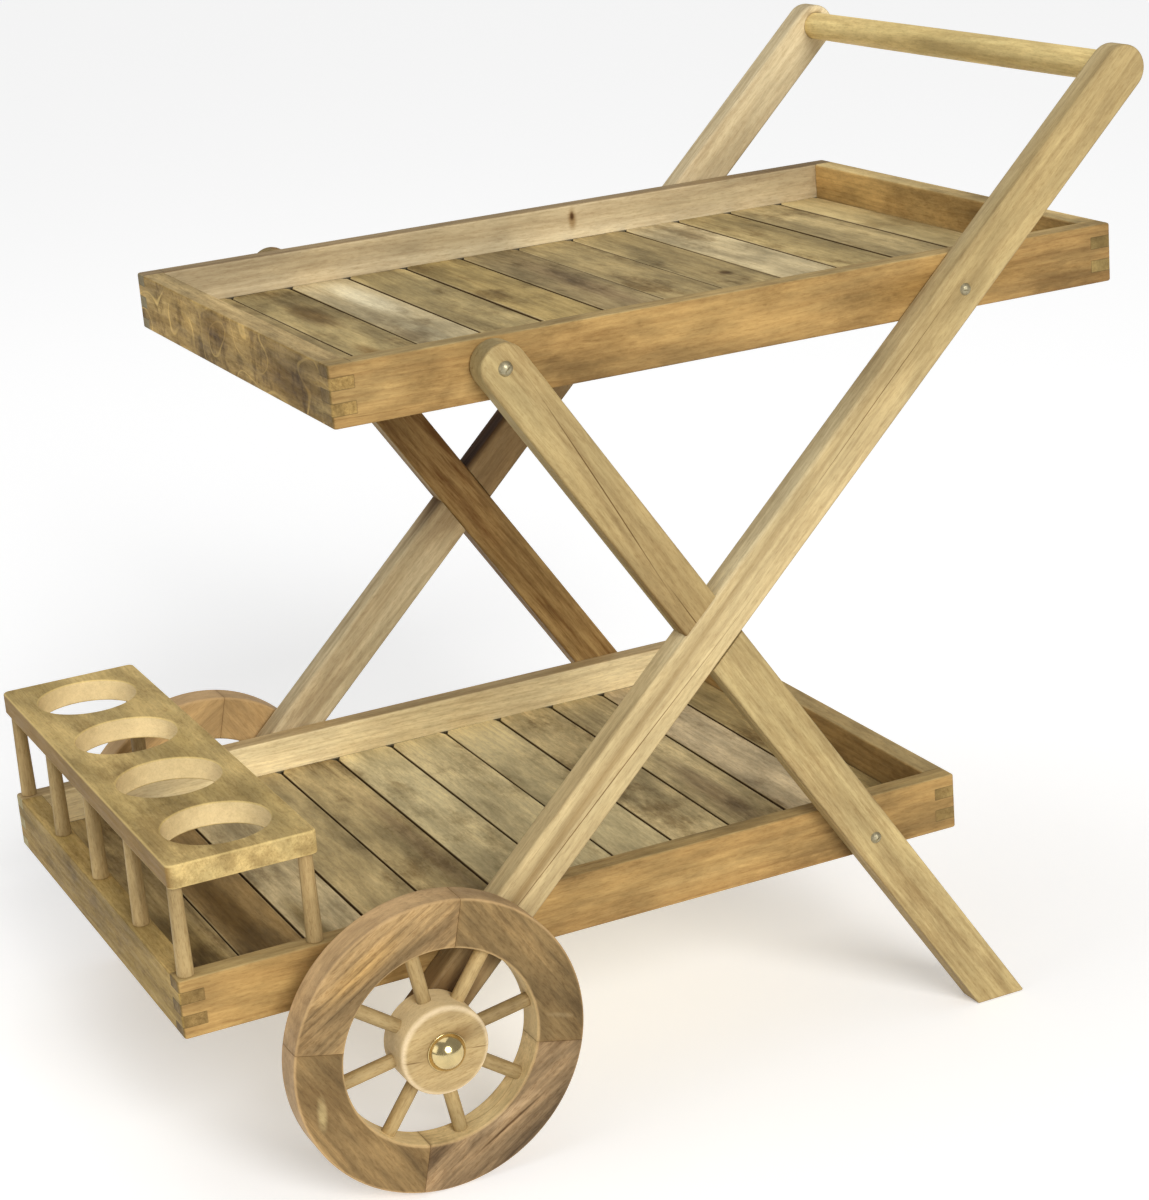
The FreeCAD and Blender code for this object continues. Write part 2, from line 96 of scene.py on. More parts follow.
class TrolleySizes(bpy.types.PropertyGroup):
    """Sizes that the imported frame's boxes don't give."""

    arm_edge: length("Arm edge", "Rounding along the edges of arms and legs", 0.003)
    foot_edge: length("Foot edge", "Rounding at a leg's cut foot", 0.001)
    leg_run: length("Leg run", "Level distance from a leg's pivot to the middle of its foot", 0.425)
    lap_gap: length("Lap gap", "Fine gap at either side of the halving joint", 0.00015)
    screw_recess: length("Screw recess", "Depth of the hole that sinks a screw behind the wheel", 0.005)
    recess_radius: length("Recess radius", "Radius of that hole", 0.0057)
    slat_ease: length("Slat ease", "Rounding of a slat's top edges", 0.0012)
    slat_corner: length("Slat corner", "Width taken off a slat at its ends", 0.0032)
    slat_corner_length: length("Slat corner length", "How far that cut reaches from the side board", 0.007)
    slat_wander: length("Slat wander", "How far a slat's edges and height stray", 0.0004)
    tongue_drop: length("Tongue drop", "A tongue's top under the slat's top", 0.002)
    shoulder: length("Shoulder", "From the slat's tip to its shoulder", 0.007)
    felloe_depth: length("Felloe depth", "Rim depth from tread to inside", 0.0415)
    felloe_edge: length("Felloe edge", "Rounding along the rim's edges", 0.0025)
    felloe_end: length("Felloe end", "Easing where two felloes meet", 0.0003)
    first_joint: turn("First joint", "Angle of the first joint of the rim", -13.0)
    first_spoke: turn("First spoke", "Angle of the first spoke", 9.5)
    spoke_radius: length("Spoke radius", "Radius of a spoke", 0.006)
    spoke_tenon: length("Spoke tenon", "How far a spoke enters hub and rim", 0.012)
    hub_nose: length("Hub nose", "Rounding of the hub's outer edge", 0.005)
    hub_back: length("Hub back", "Rounding of the hub's inner edge", 0.002)
    axle_radius: length("Axle radius", "Radius of a stub axle's shank", 0.006)
    axle_gap: length("Axle gap", "Clearance round that shank", 0.00005)
    cap_brim: length("Cap brim", "Height of the cap's brim", 0.0015)
    cap_brim_width: length("Cap brim width", "Width of the cap's brim", 0.0005)
    rack_edge: length("Rack edge", "Rounding along the rack board's edges", 0.002)
    rack_corner: length("Rack corner", "Rounding of the rack board's corners", 0.006)
    bottle_pitch: length("Bottle pitch", "From one bottle hole to the next", 0.120)
    bottle_radius: length("Bottle radius", "Radius of a bottle hole", 0.044)
    bottle_ease: length("Bottle ease", "Rounding of a bottle hole's rims", 0.0016)
    spindle_foot: length("Spindle foot", "Radius of a spindle's foot", 0.007)
    spindle_top: length("Spindle top", "Radius of a spindle's top", 0.0058)


def wood_finish(pale, dark, weathered, rings, fibres, streaks, mottle, weathering, staining, ends,
                flecks=0.30, stain_size=0.07, curls=0.0, band_width=0.024):
    """Properties of one finish of the bare teak: its three colours and how strongly each mark shows."""
    return {
        "pale": colour("Pale", "Early wood", srgb(*pale)),
        "dark": colour("Dark", "Late wood and streaks", srgb(*dark)),
        "weathered": colour("Weathered", "Greyed patches", srgb(*weathered)),
        "ring_spacing": length("Ring spacing", "Typical distance from one growth ring to the next", 0.0065),
        "ring_depth": share("Ring depth", "How strongly the growth rings show", rings),
        "fibre_depth": share("Fibre depth", "How strongly the long fibres show", fibres),
        "band_width": length("Band width", "Typical width of a band of fibres", band_width),
        "streak_depth": share("Streak depth", "How strongly the thin dark streaks show", streaks),
        "mottle": share("Mottle", "How far the wood lightens and darkens in patches", mottle),
        "weathering": share("Weathering", "How far greyed patches cover the wood", weathering),
        "staining": share("Staining", "How strongly dark stains show", staining),
        "end_depth": share("End depth", "How much darker the end grain is", ends),
        "stain_size": length("Stain size", "Typical width of a dark stain", stain_size),
        "fleck_depth": share("Fleck depth", "How strongly short dark flecks show", flecks),
        "curl_depth": share("Curl depth", "How strongly the curls of a flat-sawn face show", curls),
        "roughness": share("Roughness", "Mean roughness of the sanded surface", 0.62),
    }


class ArmWood(bpy.types.PropertyGroup):
    """Pale sanded teak of the arms, legs, push bar and far side boards."""

    __annotations__ = wood_finish((212, 191, 146), (128, 96, 56), (160, 143, 102),
                                  0.20, 0.48, 0.70, 0.10, 0.25, 0.20, 0.40, band_width=0.008)


class TrayWood(bpy.types.PropertyGroup):
    """Warm teak of the near side boards and rear ends."""

    __annotations__ = wood_finish((200, 166, 110), (118, 78, 38), (142, 118, 76),
                                  0.30, 0.40, 0.40, 0.20, 0.35, 0.45, 0.15)


class EndWood(bpy.types.PropertyGroup):
    """Dark flat-sawn teak of the upper tray's front end, with curls."""

    __annotations__ = wood_finish((206, 174, 112), (88, 62, 32), (118, 96, 56),
                                  0.15, 0.45, 0.20, 0.26, 0.50, 0.50, 0.15, 0.45, 0.05, 0.85)


class SlatWood(bpy.types.PropertyGroup):
    """Grey-brown weathered teak of the slats and battens."""

    __annotations__ = wood_finish((204, 182, 134), (94, 72, 42), (130, 114, 80),
                                  0.15, 0.42, 0.35, 0.24, 0.50, 0.75, 0.50)


class RackWood(bpy.types.PropertyGroup):
    """Olive-brown teak of the bottle rack's board and the end that it stands on."""

    __annotations__ = wood_finish((212, 186, 128), (118, 90, 44), (134, 114, 64),
                                  0.15, 0.40, 0.25, 0.18, 0.55, 0.55, 0.05, 0.45, 0.06)


class FelloeWood(bpy.types.PropertyGroup):
    """Red-brown teak of the rims."""

    __annotations__ = wood_finish((190, 156, 110), (62, 40, 24), (116, 96, 66),
                                  0.42, 0.62, 0.85, 0.28, 0.45, 0.50, 0.15, 0.55, 0.05)


class HubWood(bpy.types.PropertyGroup):
    """Light yellow teak of hubs, spokes and spindles."""

    __annotations__ = wood_finish((204, 180, 136), (136, 106, 64), (160, 140, 98),
                                  0.30, 0.40, 0.20, 0.14, 0.25, 0.25, 0.20, 0.45, 0.03)


class TrolleyMetals(bpy.types.PropertyGroup):
    """Colours of caps, screws, stub axles and floor."""

    brass: colour("Brass", "Polished caps", (0.72, 0.57, 0.28))
    screw: colour("Screw", "Dull brass-plated screw heads", (0.42, 0.37, 0.24))
    steel: colour("Steel", "Stub axles and washers", (0.60, 0.60, 0.60))
    floor: colour("Floor", "Pale studio floor", (0.90, 0.90, 0.90))


class TrolleySettings(bpy.types.PropertyGroup):
    """Everything that can be set on the trolley."""

    sizes: PointerProperty(type=TrolleySizes)
    arm_wood: PointerProperty(type=ArmWood)
    tray_wood: PointerProperty(type=TrayWood)
    end_wood: PointerProperty(type=EndWood)
    slat_wood: PointerProperty(type=SlatWood)
    rack_wood: PointerProperty(type=RackWood)
    felloe_wood: PointerProperty(type=FelloeWood)
    hub_wood: PointerProperty(type=HubWood)
    metals: PointerProperty(type=TrolleyMetals)


# Surfaces


def reach(node):
    """A node's lowest and highest corner and its middle, as arrays."""
    low, high = (np.array(corner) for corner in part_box(node))
    return low, high, (low + high) / 2


def point_of(node):
    """The middle of a node in x and z."""
    return reach(node)[2][[0, 2]]


AXLE = point_of("stub_axles")
BAR = point_of("push_bar")
PIVOT = point_of("leg_pivot_bolts")


def shell(grid, joined=False):
    """A skin over a grid of rings: four-sided faces between neighbouring rings, closed round every ring.
    The last ring is joined to the first one, or both are covered with flat ends."""
    rings, around = grid.shape[:2]
    this = np.arange(rings if joined else rings - 1)[:, None] * around
    after = (this + around) % (rings * around)
    here = np.arange(around)[None, :]
    beside = (here + 1) % around
    quads = np.stack([this + here, this + beside, after + beside, after + here], axis=-1).reshape(-1, 4)
    ends = [] if joined else [np.arange(around), np.arange(around) + (rings - 1) * around]
    return grid.reshape(-1, 3), quads, ends


def rounded_outline(corners, radii, softs, steps):
    """A closed outline with arcs for corners: its points, outward normals and edge softness.
    An arc's centre lies inside its corner by radius * (n1 + n2) / (1 + n1.n2), n1 and n2 being the outward
    normals of the edges that meet there. Its points are centre + radius * n, for n turned evenly
    from n1 to n2."""
    corners = np.asarray(corners, float)
    onward = np.roll(corners, -1, axis=0)
    if np.sum(corners[:, 0] * onward[:, 1] - corners[:, 1] * onward[:, 0]) < 0:
        return rounded_outline(corners[::-1], radii[::-1], softs[::-1], steps)
    edges = onward - corners
    edges /= np.linalg.norm(edges, axis=1)[:, None]
    out = np.stack([edges[:, 1], -edges[:, 0]], axis=1)
    before = np.roll(out, 1, axis=0)
    dot = np.sum(before * out, axis=1)
    cross = before[:, 0] * out[:, 1] - before[:, 1] * out[:, 0]
    start = np.arctan2(before[:, 1], before[:, 0])
    angle = start[:, None] + np.arctan2(cross, dot)[:, None] * np.linspace(0, 1, steps)[None, :]
    normals = np.stack([np.cos(angle), np.sin(angle)], axis=-1)
    radius = np.asarray(radii, float)[:, None]
    centres = corners - radius * (before + out) / (1 + dot)[:, None]
    points = centres[:, None, :] + radius[:, :, None] * normals
    return points.reshape(-1, 2), normals.reshape(-1, 2), np.repeat(np.asarray(softs, float), steps)


def soft_slab(outline, low, high, steps=6):
    """An outline carried from one height to another with rounded edges: at the angle t from 0 to a right
    angle the ring is drawn in by soft * (1 - sin t) and lies soft * (1 - cos t) inside the nearer face."""
    points, normals, soft = outline
    angle = np.linspace(0, math.pi / 2, steps)[:, None]
    inset = soft * (1 - np.sin(angle))
    drop = soft * (1 - np.cos(angle))
    insets = np.concatenate([inset, inset[::-1]])
    heights = np.concatenate([low + drop, high - drop[::-1]])
    rings = points[None] - normals[None] * insets[..., None]
    return np.concatenate([rings, heights[..., None]], axis=-1)


def prism(corners, low, high):
    """A polygon of x and z carried along y."""
    ring = np.insert(np.asarray(corners, float), 1, 0.0, axis=1)
    return shell(np.stack([ring + (0, low, 0), ring + (0, high, 0)]))


def turned(profile, origin, axis, around):
    """A profile of radius and height turned about an axis: origin + height * axis
    + radius * (cos t * side + sin t * up), for t all the way round."""
    axis = np.asarray(axis, float) / np.linalg.norm(axis)
    side = np.cross(Z if abs(axis[2]) < 0.9 else X, axis)
    side /= np.linalg.norm(side)
    up = np.cross(axis, side)
    t = np.linspace(0, 2 * math.pi, around, endpoint=False)[None, :, None]
    profile = np.asarray(profile, float)
    spread = np.cos(t) * side + np.sin(t) * up
    return np.asarray(origin) + profile[:, 1, None, None] * axis + profile[:, 0, None, None] * spread


def bored(point, radius, start, stop):
    """A round hole along y at a point of x and z."""
    return shell(turned([(radius, 0.0), (radius, stop - start)], (point[0], start, point[1]), Y, around=40))


def quarter(radius_centre, height_centre, size, start, stop, steps=7):
    """Points of a rounded corner in a turned profile: centre + size * (cos t, sin t)."""
    t = np.radians(np.linspace(start, stop, steps))
    return np.stack([radius_centre + size * np.cos(t), height_centre + size * np.sin(t)], axis=1)


def mesh_from(shells):
    """One mesh of closed shells, each with its faces turned outwards."""
    starts = np.cumsum([0] + [len(points) for points, quads, ends in shells])
    points = np.concatenate([points for points, quads, ends in shells])
    faces = []
    for (_, quads, ends), start in zip(shells, starts):
        faces += (quads + start).tolist() + [(end + start).tolist() for end in ends]
    mesh = bpy.data.meshes.new("shape")
    mesh.from_pydata(points.tolist(), [], faces)
    draft = bmesh.new()
    draft.from_mesh(mesh)
    bmesh.ops.recalc_face_normals(draft, faces=draft.faces)
    draft.to_mesh(mesh)
    draft.free()
    return mesh


def add(name, data):
    """A new object in the scene."""
    made = bpy.data.objects.new(name, data)
    bpy.context.scene.collection.objects.link(made)
    return made


def carve(mesh, shells):
    """The solid inside a mesh less the solids inside some shells, by an exact boolean."""
    block = add("block", mesh)
    tool = add("tool", mesh_from(shells))
    cut = block.modifiers.new("Cut", "BOOLEAN")
    cut.operation = "DIFFERENCE"
    cut.solver = "EXACT"
    cut.object = tool
    shaped = block.evaluated_get(bpy.context.evaluated_depsgraph_get())
    carved = bpy.data.meshes.new_from_object(shaped)
    for item in (block, tool):
        blank = item.data
        bpy.data.objects.remove(item)
        bpy.data.meshes.remove(blank)
    return carved


# Timber: where a piece, or the first one of a row, lay in the log that rings and fibres run through

LOG_NUMBERS = {
    "left_handle_arm": 3,
    "right_handle_arm": 4,
    "left_leg": 8,
    "right_leg": 9,
    "push_bar": 14,
    "upper_slat": 20,
    "lower_slat": 32,
    "left_felloe": 50,
    "right_felloe": 57,
    "left_wheel_hub": 71,
    "right_wheel_hub": 72,
    "spoke": 80,
    "rack_board": 92,
    "rack_spindle": 100,
}
NEXT_IN_LOG = 1.37         # along the trunk from one piece to the next
NEAREST_PITH = 0.035
PITH_SPREAD = 0.06
GOLDEN_SHARE = 0.618034
GOLDEN_ANGLE = math.pi * (3 - math.sqrt(5))


def log_place(number):
    """Pieces are sawn all round the log: each next one lies a golden angle further round, from 35 to 95 mm
    from the pith, and well along the trunk from the one before."""
    around = number * GOLDEN_ANGLE
    out = NEAREST_PITH + PITH_SPREAD * ((number * GOLDEN_SHARE) % 1.0)
    return np.array((number * NEXT_IN_LOG, out * math.cos(around), out * math.sin(around)))


def timber(points, middle, along, across, number):
    """Log coordinates of points: along the grain, across the face and through it, from the piece's middle,
    with the direction of the grain at each point."""
    along = np.asarray(along, float) / np.linalg.norm(along)
    across = np.asarray(across, float) - along * np.dot(across, along)
    across /= np.linalg.norm(across)
    axes = np.stack([along, across, np.cross(along, across)], axis=1)
    grain = (points - middle) @ axes + log_place(number)
    return grain, np.broadcast_to(along, points.shape)


def sawn(mesh, node, along, across, number):
    """Timber of a mesh that stands for one node."""
    return timber(mesh_points(mesh), reach(node)[2], along, across, number)


def dowels(profile, pins, across, number, around):
    """Turned pins in one mesh, each with timber of its own. A pin is the origin of its profile, its axis and
    the point that its timber is measured from."""
    shells = [shell(turned(profile, origin, way, around)) for origin, way, start in pins]
    woods = [timber(skin[0], start, way, across, number + place)
             for place, (skin, (origin, way, start)) in enumerate(zip(shells, pins))]
    return mesh_from(shells), [np.concatenate(part) for part in zip(*woods)]


def mesh_points(mesh):
    points = np.empty(len(mesh.vertices) * 3)
    mesh.vertices.foreach_get("co", points)
    return points.reshape(-1, 3)


# Shades of single boards against their finish

SHADES = {
    "chalky": (1.80, 2.15, 2.30),
    "silvery": (1.52, 1.67, 1.82),
    "pale": (1.40, 1.48, 1.55),
    "cream": (1.28, 1.35, 1.65),
    "straw": (1.48, 1.48, 1.18),
    "light": (1.20, 1.22, 1.13),
    "cool": (1.13, 1.19, 1.33),
    "plain": (1.00, 1.00, 0.94),
    "ashen": (0.89, 0.91, 0.98),
    "warm": (0.88, 0.86, 0.72),
    "dark": (0.77, 0.74, 0.63),
    "tobacco": (0.74, 0.68, 0.46),
    "grey": (0.61, 0.58, 0.52),
    "drab": (0.61, 0.61, 0.51),
    "bay": (0.70, 0.57, 0.38),
    "umber": (0.58, 0.47, 0.32),
    # Next: dark for the rims' joints, also used as painted shade on the arms' undersides and the rack board's
    # front edge
    "dark_joint_and_shade": (0.38, 0.29, 0.17),
    # Next: painted shade on the slats' sides in the gaps between them
    "painted_gap_shade": (0.20, 0.14, 0.08),
}
# Places of painted shade lose the same share of marking as places of wear
WEAR_AND_SHADE_SMOOTH = 0.6          # share of the marking that a worn place loses
SHARP_ANGLE = math.radians(50)


def finish_piece(mesh, node, body, material, wood=None, shade="plain", wear_and_shade=(), marking=1.0):
    """Puts a mesh in the scene in place of a node: smooth rounds, flat faces, its timber and its finish.
    A list names other shades for wear and for painted shade, each with a function of place and normal
    that says from 0 to 1 where it lies."""
    mesh.name = node + "_shape"
    mesh.shade_smooth()
    mesh.set_sharp_from_angle(angle=SHARP_ANGLE)
    mesh.materials.clear()
    mesh.materials.append(material)
    if wood is not None:
        grain, along = wood
        normals = np.empty(len(mesh.vertices) * 3)
        mesh.vertex_normals.foreach_get("vector", normals)
        normals = normals.reshape(-1, 3)
        end = np.abs(np.sum(normals * along, axis=1))
        tones = np.full((len(normals), 4), marking)
        tones[:, :3] = SHADES[shade]
        for where, other in wear_and_shade:
            lies = np.clip(where(mesh_points(mesh), normals), 0.0, 1.0)[:, None]
            tones[:, :3] = tones[:, :3] * (1 - lies) + lies * SHADES[other]
            tones[:, 3:] *= 1 - WEAR_AND_SHADE_SMOOTH * lies
        mesh.attributes.new("grain", "FLOAT_VECTOR", "POINT").data.foreach_set("vector", grain.ravel())
        mesh.attributes.new("end_grain", "FLOAT", "POINT").data.foreach_set("value", end)
        mesh.attributes.new("tone", "FLOAT_COLOR", "POINT").data.foreach_set("color", tones.ravel())
    piece = add(node + "_shape", mesh)
    flat = piece.modifiers.new("Flat faces", "WEIGHTED_NORMAL")
    flat.keep_sharp = True
    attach(piece, body)
    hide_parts(node)


# Materials


class Field:
    """What changes over a surface, such as a colour, held by a node's output. Sums make further nodes."""

    kind = None

    def __init__(self, socket):
        self.socket = socket
        self.tree = socket.id_data

    def work(self, operation, *terms, **settings):
        node = put(self.tree, self.kind, dict(enumerate(terms)), operation=operation, **settings)
        return type(self)(node.outputs[0])

    def __add__(self, other):
        return self.work("ADD", self, other)

    def __sub__(self, other):
        return self.work("SUBTRACT", self, other)

    def __rsub__(self, other):
        return self.work("SUBTRACT", other, self)

    def __mul__(self, other):
        return self.work("MULTIPLY", self, other)

    def __truediv__(self, other):
        return self.work("DIVIDE", self, other)


class Amount(Field):
    """A number over a surface."""

    kind = "ShaderNodeMath"

    def __abs__(self):
        return self.work("ABSOLUTE", self)

    def __gt__(self, other):
        return self.work("GREATER_THAN", self, other)

    def fract(self):
        return self.work("FRACT", self)

    def largest(self, other):
        return self.work("MAXIMUM", self, other)

    def within(self, middle, half):
        """1 up to half a span either side of a middle, and 0 past that."""
        return self.work("COMPARE", self, middle, half)

    def fade(self, low, high, start=0.0, stop=1.0):
        """Eases from start to stop while the number goes from low to high."""
        inputs = {"Value": self, "From Min": low, "From Max": high, "To Min": start, "To Max": stop}
        node = put(self.tree, "ShaderNodeMapRange", inputs, interpolation_type="SMOOTHSTEP")
        return Amount(node.outputs["Result"])


class Place(Field):
    """Coordinates over a surface, in metres."""

    kind = "ShaderNodeVectorMath"

    def distance(self):
        return Amount(put(self.tree, self.kind, {0: self}, operation="LENGTH").outputs["Value"])

    def along(self, way):
        return Amount(put(self.tree, self.kind, {0: self, 1: way}, operation="DOT_PRODUCT").outputs["Value"])

    def noise(self, stretch, detail=2.0, rough=0.5, coloured=False):
        """Noise with so many waves a metre each way: its level, or the colour that goes with it."""
        inputs = {"Vector": self * stretch, "Scale": 1.0, "Detail": detail, "Roughness": rough}
        return Amount(put(self.tree, "ShaderNodeTexNoise", inputs).outputs[1 if coloured else 0])


def feed(node, inputs):
    """Sets a node's inputs to plain values, or joins them to fields."""
    for key, value in inputs.items():
        if isinstance(value, Field):
            node.id_data.links.new(value.socket, node.inputs[key])
        else:
            node.inputs[key].default_value = value


def put(tree, kind, inputs, **settings):
    """A new node with its settings and inputs."""
    node = tree.nodes.new(kind)
    for name, value in settings.items():
        setattr(node, name, value)
    feed(node, inputs)
    return node


def opaque(rgb):
    return rgb if isinstance(rgb, Field) else (*rgb, 1.0)


def mix(tree, factor, first, second, mode="MIX"):
    """One colour with another laid over it, or multiplied with it, as far as the factor says."""
    inputs = {0: factor, 6: opaque(first), 7: opaque(second)}
    return Field(put(tree, "ShaderNodeMix", inputs, data_type="RGBA", blend_type=mode).outputs[2])


def tinted(tree, wood, factor, tint):
    return mix(tree, factor, wood, TINTS[tint], "MULTIPLY")


def scaled(tree, vector, amount):
    return Place(put(tree, Place.kind, {0: vector, 3: amount}, operation="SCALE").outputs[0])


def new_material(name):
    material = bpy.data.materials.new(name)
    material.use_nodes = True
    return material, material.node_tree, material.node_tree.nodes["Principled BSDF"]


def teak(tree, shader, grain, end, finish, tone, marking, marks, flat=None):
    """Bare teak. Growth rings lie round a wandering pith: each darkens slowly and ends sharply, and they fade
    out in places. Broad bands, fibres and short flecks are drawn out along the grain. Over them lie thin
    streaks, greyed patches, stains, curls on flat-sawn faces, single marks and darker end grain."""
    drift = Place(grain.noise((1.4, 6.0, 6.0), coloured=True).socket) - (0.5, 0.5, 0.5)
    log = grain + drift * (0.0, 0.04, 0.04)
    count = (log * (0.0, 1.0, 1.0)).distance() / finish.ring_spacing
    slow = {"W": count, "Scale": 0.31, "Detail": 1.0}
    uneven = put(tree, "ShaderNodeTexNoise", slow, noise_dimensions="1D")
    growth = (count + Amount(uneven.outputs[0]) * 3.0).fract()
    rings = growth.work("POWER", growth, 2.5) * growth.fade(1.0, 0.86)
    shown = grain.noise((2.4, 13.0, 13.0), coloured=True).fade(0.36, 0.62)
    wide = 1.0 / finish.band_width
    broad = log.noise((2.8, wide, wide), 4.0, 0.60)
    fibre = log.noise((20.0, 260.0, 260.0), 4.0, 0.66)
    fleck = log.noise((140.0, 620.0, 620.0), 3.0, 0.70)
    pores = log.noise((60.0, 1700.0, 1700.0), 2.0, 0.60)
    thread = log.noise((0.8, 60.0, 60.0), 1.0)
    streaked = grain.noise((1.1, 18.0, 18.0), coloured=True).fade(0.54, 0.62)
    cloud = grain.noise((3.5, 11.0, 11.0), 6.0, 0.62)
    patch = (grain + (1.3, 2.7, 0.9)).noise((7.0, 26.0, 26.0), 6.0, 0.68)
    stain = 1.0 / finish.stain_size
    spots = (grain + (3.1, 0.7, 0.4)).noise((0.45 * stain, stain, stain), 8.0, 0.70)
    marked = Amount(put(tree, Amount.kind, {0: marking, 1: 1.0}, operation="MINIMUM").outputs[0])

    threads = broad.fade(0.30, 0.72) * 0.55 + fibre.fade(0.32, 0.70) * 0.45
    depth = rings * shown * finish.ring_depth + threads * finish.fibre_depth
    depth = depth.work("MULTIPLY", depth, marking, use_clamp=True)
    wood = mix(tree, depth, finish.pale, finish.dark)
    wood = mix(tree, cloud.fade(0.42, 0.64) * finish.weathering * marked, wood, finish.weathered)
    thin = abs(thread - 0.5).fade(0.014, 0.003)
    wood = tinted(tree, wood, thin * streaked * finish.streak_depth * marked, "streak")
    wood = tinted(tree, wood, spots.fade(0.49, 0.64) * finish.staining * marked, "spot")
    wood = tinted(tree, wood, fleck.fade(0.46, 0.70) * finish.fleck_depth * marked, "fleck")
    wood = tinted(tree, wood, pores.fade(0.54, 0.72) * 0.25, "pore")
    if finish.curl_depth > 0.0:
        wood = curls(tree, wood, grain, finish, flat)
    wavy = grain + drift * (0.0, 0.02, 0.02)
    for mark in marks:
        wood = blemish(tree, wood, wavy, mark)
    wood = tinted(tree, wood, end.fade(0.6, 0.95) * finish.end_depth, "end")
    swing = 1.6 * finish.mottle
    wood = scaled(tree, wood, patch.fade(0.30, 0.70, -swing, swing) * marked + 1.0)

    relief = fleck * 0.7 + pores * 0.5 - rings * 0.15
    bump = put(tree, "ShaderNodeBump", {"Strength": 0.30, "Distance": 0.0005, "Height": relief})
    feed(shader, {
        "Base Color": mix(tree, 1.0, wood, tone, "MULTIPLY"),
        "Roughness": fibre.fade(0.3, 0.7, finish.roughness - 0.08, finish.roughness + 0.10),
        "Normal": Field(bump.outputs[0]),
        "IOR": 1.45,
        "Specular IOR Level": 0.22,
    })


def curls(tree, wood, grain, finish, flat):
    """Curls of a flat-sawn board: thin pale lines at even levels of a slow noise, so that they nest, and
    short dark blotches that stand across the grain."""
    level = (grain.noise((8.0, 1.0, 13.0), 1.0) * 9.0).fract()
    line = abs(level - 0.5).fade(0.06, 0.015)
    some = grain.noise((14.0, 1.0, 16.0), 1.0, coloured=True).fade(0.36, 0.48)
    blotch = grain.noise((36.0, 1.0, 30.0), 5.0, 0.65).fade(0.47, 0.64)
    wood = tinted(tree, wood, blotch * flat * finish.curl_depth, "blotch")
    return mix(tree, line * some * flat * (0.9 * finish.curl_depth), wood, finish.pale)


def blemish(tree, wood, wavy, mark):
    """A knot, stain, smear, crack or patch of painted shade: the wood is tinted within an ellipsoid that leans
    across the grain.
    """
    number, place, size, lean, tint = mark
    offset = wavy - tuple(log_place(number) + place)
    offset -= scaled(tree, (0.0, lean, lean), offset.along(X))
    return tinted(tree, wood, (offset / size).distance().fade(1.0, 0.25), tint)


TINTS = {
    "streak": (0.42, 0.30, 0.19),
    "spot": (0.36, 0.29, 0.20),
    "fleck": (0.52, 0.42, 0.30),
    "pore": (0.45, 0.36, 0.26),
    "blotch": (0.42, 0.37, 0.25),
    "end": (0.40, 0.33, 0.25),
    # Knot and stain also darken the handle arms as painted shade, in the arm marks
    "knot": (0.30, 0.22, 0.15),
    "crack": (0.34, 0.25, 0.16),
    "stain": (0.60, 0.50, 0.38),
    "tan": (0.80, 0.76, 0.66),
    "soot": (0.74, 0.70, 0.72),
    "grime": (0.46, 0.41, 0.29),
    "smear": (1.30, 1.40, 1.62),
    "bleach": (1.25, 1.30, 1.38),
    "scuff": (2.0, 2.4, 2.8),
    "amber": (1.35, 1.28, 1.08),
}

# Single marks: a piece's number in the log, then from its middle the mark's place, half sizes, lean and tint

